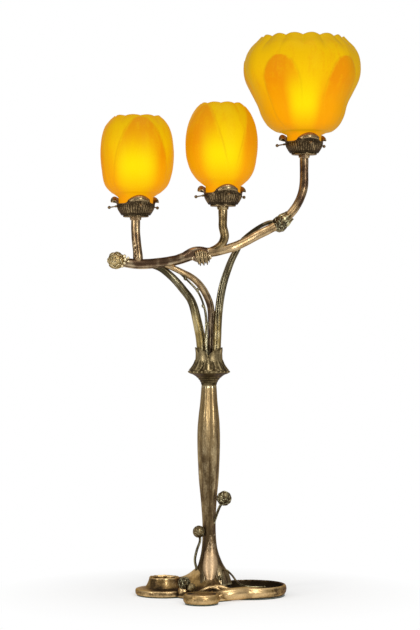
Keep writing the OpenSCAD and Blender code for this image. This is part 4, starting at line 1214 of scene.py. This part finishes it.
def base_casting():
    """The base's casting with its tones. Painted shade darkens the dish's inside and far rim, the
    bowl's left wall and the front pad's sides; painted highlights make the bowl's right side, the
    dish's front, the rim of the bowl, the front pad's middle, the left pad's lower tier and the
    root's left part lighter and golden. Each region is a product of smooth steps."""
    mesh, points = grown_together(base_piece(), voxel=1.0, passes=4)
    x, y, z = points.T
    mesh.name = "base_casting"
    wear(mesh, reach=0.35, passes=14)
    (px, py), pr, ph = pad_place("base_left_pad")
    (fx, fy), fr, _ = pad_place("base_front_pad")
    (dx, dy), dish_r, _ = dish_place()
    dish = np.hypot(x - dx, y - dy)
    bowl = np.hypot(x - px, y - py)
    front = 1 - ease(fr - 3, fr + 4, np.hypot(x - fx, y - fy))
    # Painted highlights: the bowl's right side, the dish's front, the bowl's rim, the lower tier,
    # the front pad's middle and the root's left part
    rubbed = ease(-68, -56, x) * (1 - ease(-38, -20, x)) * ease(10, 13, z)
    dish_front_highlight = ease(8, 30, x) * (1 - ease(66, 100, x)) * ease(-40, -58, y)
    bowl_rim_highlight = (1 - ease(0.5 * pr, 0.56 * pr, bowl)) * ease(ph - 10, ph - 8, z)
    tier = ease(-74, -88, x) * ease(8, 9.4, z)
    middle = 1 - ease(2, fr, np.abs(x - fx - 2))
    root = 0.6 * ease(-48, -36, x) * (1 - ease(-6, 6, x)) * ease(12, 17, z)
    light = np.max([0.3 * front * middle, 0.6 * rubbed, dish_front_highlight, 0.4 * bowl_rim_highlight, tier,
                    root], 0)
    # Painted shade: the dish's inside and far half, the bowl's left wall and the front pad's sides
    hollow = np.max([(1 - ease(dish_r - 7, dish_r - 4, dish)) * (z < 15),
                     (dish < dish_r + 2) * ease(-20, 0, y) * (x > 20),
                     (1 - ease(0.6 * pr, 0.7 * pr, bowl)) * (1 - ease(-78, -66, x)) * 0.3,
                     0.3 * front * (1 - middle)], 0)
    # The patina's tone is raised at the painted highlights and on the front pad, with random
    # patches over 22 mm
    tone = 0.2 + 0.7 * np.maximum(light, front) + 0.4 * noise(points, 22, 31)
    set_values(mesh, "tone", np.clip(tone, 0, 1))
    # Painted light in the worn level: brighter, glossier metal at the painted highlights, darker in
    # the painted shade
    rub(mesh, -0.14 + 0.3 * light - 0.5 * hollow * (1 - light))
    cast(mesh, "base_casting", "rosy_bronze", "base_root", "base_left_pad", "base_dish",
         "base_front_pad")


# Scales in each ring of a ball, and the way the lying pod points
PINE = (4, 7, 9, 10, 10, 9, 7)
POD = (3, 5, 7, 7, 7, 5)
SMALL = (3, 5, 6, 5)
LYING = (0.8, -0.55, -0.35)
# Growths: piece, node, tone, steps, sides and line of the stalk, then each ball of scales: tone,
# radius, place, direction, rings and lift, and for the small one stretch, rows and sides
GROWTHS = (
    ("column_pod_skin", "column_pod", 0.2, 10, 24,
     ((7, -3, 100, 1.9), (9.5, -5, 108, 1.9), (14.5, -7, 122, 1.9), (19.5, -8, 130, 2.1)),
     ((0.4, 10.8, (21.2, -8, 134.6), (0.45, -0.35, 1), POD, 1.7),)),
    ("column_bud_skin", "column_bud", 0.1, 10, 24,
     ((-17, -5, 22, 2), (-17.5, -5.5, 36, 1.8), (-19.8, -6, 48, 1.8), (-17, -6, 62, 1.8),
      (-12.5, -7, 75, 1.8), (-13.5, -7, 84, 2)),
     ((0.6, 8.7, (-14.2, -7, 88), (-0.2, -0.6, 1), PINE, 0.7),)),
    ("lying_pod", "base_bud", 0, 0, 0, (),
     ((0.1, 9.2, (-34, -46, 21), LYING, POD, 1.6), (1.0, 6, (-24, -53, 16), LYING, SMALL, 0.5))),
    ("tendril", "base_tendril", 0.3, 12, 20,
     ((17, -9, 34, 1.6), (24, -13, 35, 1.5), (32, -22, 29, 1.4), (38, -35, 22.4, 1.4),
      (44.5, -48, 19, 1.4), (54, -58, 17.6, 1.3), (66, -58, 17.2, 1.2), (77, -53.6, 17, 1.1)),
     ((0.4, 4.8, (15, -19, 24), (0.3, -0.5, 1), SMALL, 0.7, 1.15, 48, 72),)),
)


def growth_pieces():
    """The pod and the bud by the column with their stalks, the lying pod, and the tendril with the
    small bud at its foot."""
    for name, node, dark, steps, sides, stalk, balls in GROWTHS:
        part = Piece()
        if stalk:
            part.add(carried(smooth_line(stalk, steps), ribbed(3, 0.06, 0.0, 0.04), sides), dark)
        for tone, radius, place, tips, rings, *form in balls:
            part.add(scaled_ball(radius, place, axes_along(tips), rings, *form), tone)
        cast(part, name, "pod_patina", node)


# --- Operators ---


# In metres. The camera stands about 3 m in front, level with the lamp's middle
CAMERA_PLACE = (1.4 * MM, -2.967, 0.3906)
CAMERA_LENS, CAMERA_SENSOR = 121.1, 36
LAMP_MIDDLE = (0, 0, 0.4)
# Soft boxes: name, place, width, height and power in watts
LAMPS = (("key_lamp", (0.95, -2.15, 1.1), 0.5, 1.6, 22),
         ("side_lamp", (-1.7, -1.4, 0.9), 0.4, 1.5, 13),
         ("top_lamp", (0.2, -0.5, 2.4), 1.2, 1.2, 14))
# Outline of the table top, in millimetres: radius and height, from below
TABLE_LINE = ((3000, -8), (3000, 0), (600, 0), (1, 0))


class LAMP_OT_stage(bpy.types.Operator):
    """Camera, floor, world and lamps"""

    bl_idname = "lamp.stage"
    bl_label = "Stage"

    def execute(self, context):
        scene = context.scene
        scene.view_settings.view_transform = "Standard"
        data = bpy.data.cameras.new("front_camera")
        data.lens, data.sensor_width = CAMERA_LENS, CAMERA_SENSOR
        camera = bpy.data.objects.new("front_camera", data)
        camera.location = CAMERA_PLACE
        camera.rotation_euler = (math.pi / 2, 0, 0)
        scene.collection.objects.link(camera)
        scene.camera = camera
        self.world(scene)
        self.floor(scene)
        for name, place, wide, tall, power in LAMPS:
            lamp = bpy.data.lights.new(name, "AREA")
            lamp.shape, lamp.size, lamp.size_y, lamp.energy = "RECTANGLE", wide, tall, power
            light = bpy.data.objects.new(name, lamp)
            light.location = place
            aim = np.array(LAMP_MIDDLE) - place
            light.rotation_euler = (math.atan2(math.hypot(aim[0], aim[1]), -aim[2]), 0,
                                    math.atan2(-aim[0], aim[1]))
            scene.collection.objects.link(light)
        return {"FINISHED"}

    def world(self, scene):
        """Even soft light from the room, and a white backdrop where the camera, metal or glass
        sees it."""
        world = bpy.data.worlds.new("soft_white")
        scene.world = world
        world.use_nodes = True
        tree = world.node_tree
        tree.nodes.clear()
        path = add_node(tree, "LightPath").outputs
        way = add_node(tree, "TexCoord").outputs["Generated"]
        axes = add_node(tree, "SeparateXYZ", {"Vector": way}).outputs
        behind = add_node(tree, "MapRange", {"Value": axes["Y"], "From Min": 0.7,
                                             "From Max": 0.95})
        above = add_node(tree, "MapRange", {"Value": axes["Z"], "From Min": 0.1,
                                            "From Max": 0.75, "To Min": 0.16, "To Max": 0.7})
        backdrop = add_node(tree, "Math", {0: behind, 1: above}, operation="MAXIMUM")
        mirrored = add_node(tree, "Math", {0: path["Is Glossy Ray"],
                                           1: path["Is Transmission Ray"]}, operation="MAXIMUM")
        room = add_node(tree, "Mix", {"Factor": mirrored, "A": 0.5, "B": backdrop},
                        data_type="FLOAT")
        strength = add_node(tree, "Math", {0: room, 1: path["Is Camera Ray"]},
                            operation="MAXIMUM")
        light = add_node(tree, "Background", {"Color": (1, 1, 1, 1), "Strength": strength})
        add_node(tree, "OutputWorld", {"Surface": light})

    def floor(self, scene):
        """White table top that keeps the lamp's shadow and runs out into plain white."""
        mesh = Piece().add(revolved(TABLE_LINE)).mesh("table_top")
        material, tree = new_material("White table top")
        place = add_node(tree, "TexCoord").outputs["Object"]
        flat = add_node(tree, "VectorMath", {0: place}, operation="LENGTH")
        far = add_node(tree, "MapRange", {"Value": flat, "From Min": 0.14, "From Max": 0.32,
                                          "To Min": 0.45})
        near = add_node(tree, "BsdfDiffuse", {"Color": linear("#fbfbfa")})
        bright = add_node(tree, "Emission", {"Color": (1, 1, 1, 1), "Strength": 1.0})
        path = add_node(tree, "LightPath").outputs["Is Diffuse Ray"]
        unseen = add_node(tree, "Math", {0: 1.0, 1: path}, operation="SUBTRACT")
        share = add_node(tree, "Math", {0: far, 1: unseen}, operation="MULTIPLY")
        close_material(tree, add_node(tree, "MixShader", {0: share, 1: near, 2: bright}))
        mesh.materials.append(material)
        table = bpy.data.objects.new("table_top", mesh)
        scene.collection.objects.link(table)


class LAMP_OT_shades(bpy.types.Operator):
    """Three lit glass shades"""

    bl_idname = "lamp.shades"
    bl_label = "Glass shades"

    def execute(self, context):
        for side in SIDES:
            shade_piece(side, context.scene.lamp_glass, context.scene.lamp_sizes)
        return {"FINISHED"}


class LAMP_OT_holders(bpy.types.Operator):
    """Three calyx holders, the bulbs and what sits inside them"""

    bl_idname = "lamp.holders"
    bl_label = "Holders and bulbs"

    def execute(self, context):
        for side in SIDES:
            holder_piece(side, context.scene.lamp_sizes)
            bulb_piece(side)
            dress_node(side + "_lampholder", "turned_brass")
            dress_node(side + "_bulb_cap", "turned_brass")
            dress_node(side + "_insulator", "porcelain")
            for k in (1, 2, 3):
                dress_node(f"{side}_screw_{k}", "worn_bronze")
        return {"FINISHED"}


class LAMP_OT_arm(bpy.types.Operator):
    """Bowed arm, the two other stems, the knots and the end bud"""

    bl_idname = "lamp.arm"
    bl_label = "Arm, stems and knots"

    def execute(self, context):
        arm_piece()
        left_stem_piece()
        middle_stem_piece()
        end_bud_piece()
        middle_knot_piece()
        right_knot_piece()
        return {"FINISHED"}


class LAMP_OT_branches(bpy.types.Operator):
    """Three branches and the thin twig"""

    bl_idname = "lamp.branches"
    bl_label = "Branches and twig"

    def execute(self, context):
        branch_piece("left_branch", "stem_patina", 0.012, FRONT - 0.3, 21, False)
        branch_piece("middle_branch", "brown_patina", 0.010, FRONT + 0.4, 22, True)
        branch_piece("right_branch", "stem_patina", -0.008, FRONT - 0.2, 23, False)
        twig_piece()
        return {"FINISHED"}


class LAMP_OT_column(bpy.types.Operator):
    """Column and leaf collar"""

    bl_idname = "lamp.column"
    bl_label = "Column and collar"

    def execute(self, context):
        column_piece()
        collar_piece(context.scene.lamp_sizes)
        return {"FINISHED"}


class LAMP_OT_base(bpy.types.Operator):
    """Base casting and what grows on it"""

    bl_idname = "lamp.base"
    bl_label = "Base and growths"

    def execute(self, context):
        base_casting()
        growth_pieces()
        return {"FINISHED"}


class LAMP_OT_fittings(bpy.types.Operator):
    """Fittings that keep the frame's own shapes"""

    bl_idname = "lamp.fittings"
    bl_label = "Fittings"

    def execute(self, context):
        dress_node("felt_pad", "green_felt")
        dress_node("cord_bush", "black_rubber")
        dress_node("cover_screws", "plated_steel")
        dress_node("collar_plug", "dark_patina")
        for node in ("cover_plate", "tie_rod", "tie_rod_nuts", "nipples", "locknuts",
                     "lamp_contacts"):
            dress_node(node, "turned_brass")
        return {"FINISHED"}


class LAMP_PT_panel(bpy.types.Panel):
    """Sizes, colours and the steps that make the lamp"""

    bl_idname = "LAMP_PT_panel"
    bl_label = "Tulip shade lamp"
    bl_space_type = "VIEW_3D"
    bl_region_type = "UI"
    bl_category = "Lamp"

    def draw(self, context):
        for group in (context.scene.lamp_glass, context.scene.lamp_sizes):
            for name in group.bl_rna.properties.keys():
                if name not in ("rna_type", "name"):
                    self.layout.prop(group, name)
        for step in STEPS:
            self.layout.operator(step.bl_idname)


STEPS = (LAMP_OT_stage, LAMP_OT_shades, LAMP_OT_holders, LAMP_OT_arm, LAMP_OT_branches,
         LAMP_OT_column, LAMP_OT_base, LAMP_OT_fittings)
CLASSES = (GlassLooks, LampSizes, *STEPS, LAMP_PT_panel)


def register():
    """Registers the classes and hangs the two groups of properties on the scene."""
    for cls in CLASSES:
        bpy.utils.register_class(cls)
    bpy.types.Scene.lamp_glass = bpy.props.PointerProperty(type=GlassLooks)
    bpy.types.Scene.lamp_sizes = bpy.props.PointerProperty(type=LampSizes)


def unregister():
    """Takes away what register added."""
    del bpy.types.Scene.lamp_glass
    del bpy.types.Scene.lamp_sizes
    for cls in reversed(CLASSES):
        bpy.utils.unregister_class(cls)


def main():
    """Makes the lamp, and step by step."""
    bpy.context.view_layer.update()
    register()
    bpy.ops.lamp.stage()
    bpy.ops.lamp.shades()
    bpy.ops.lamp.holders()
    bpy.ops.lamp.arm()
    bpy.ops.lamp.branches()
    bpy.ops.lamp.column()
    bpy.ops.lamp.base()
    bpy.ops.lamp.fittings()


if __name__ == "__main__":
    main()
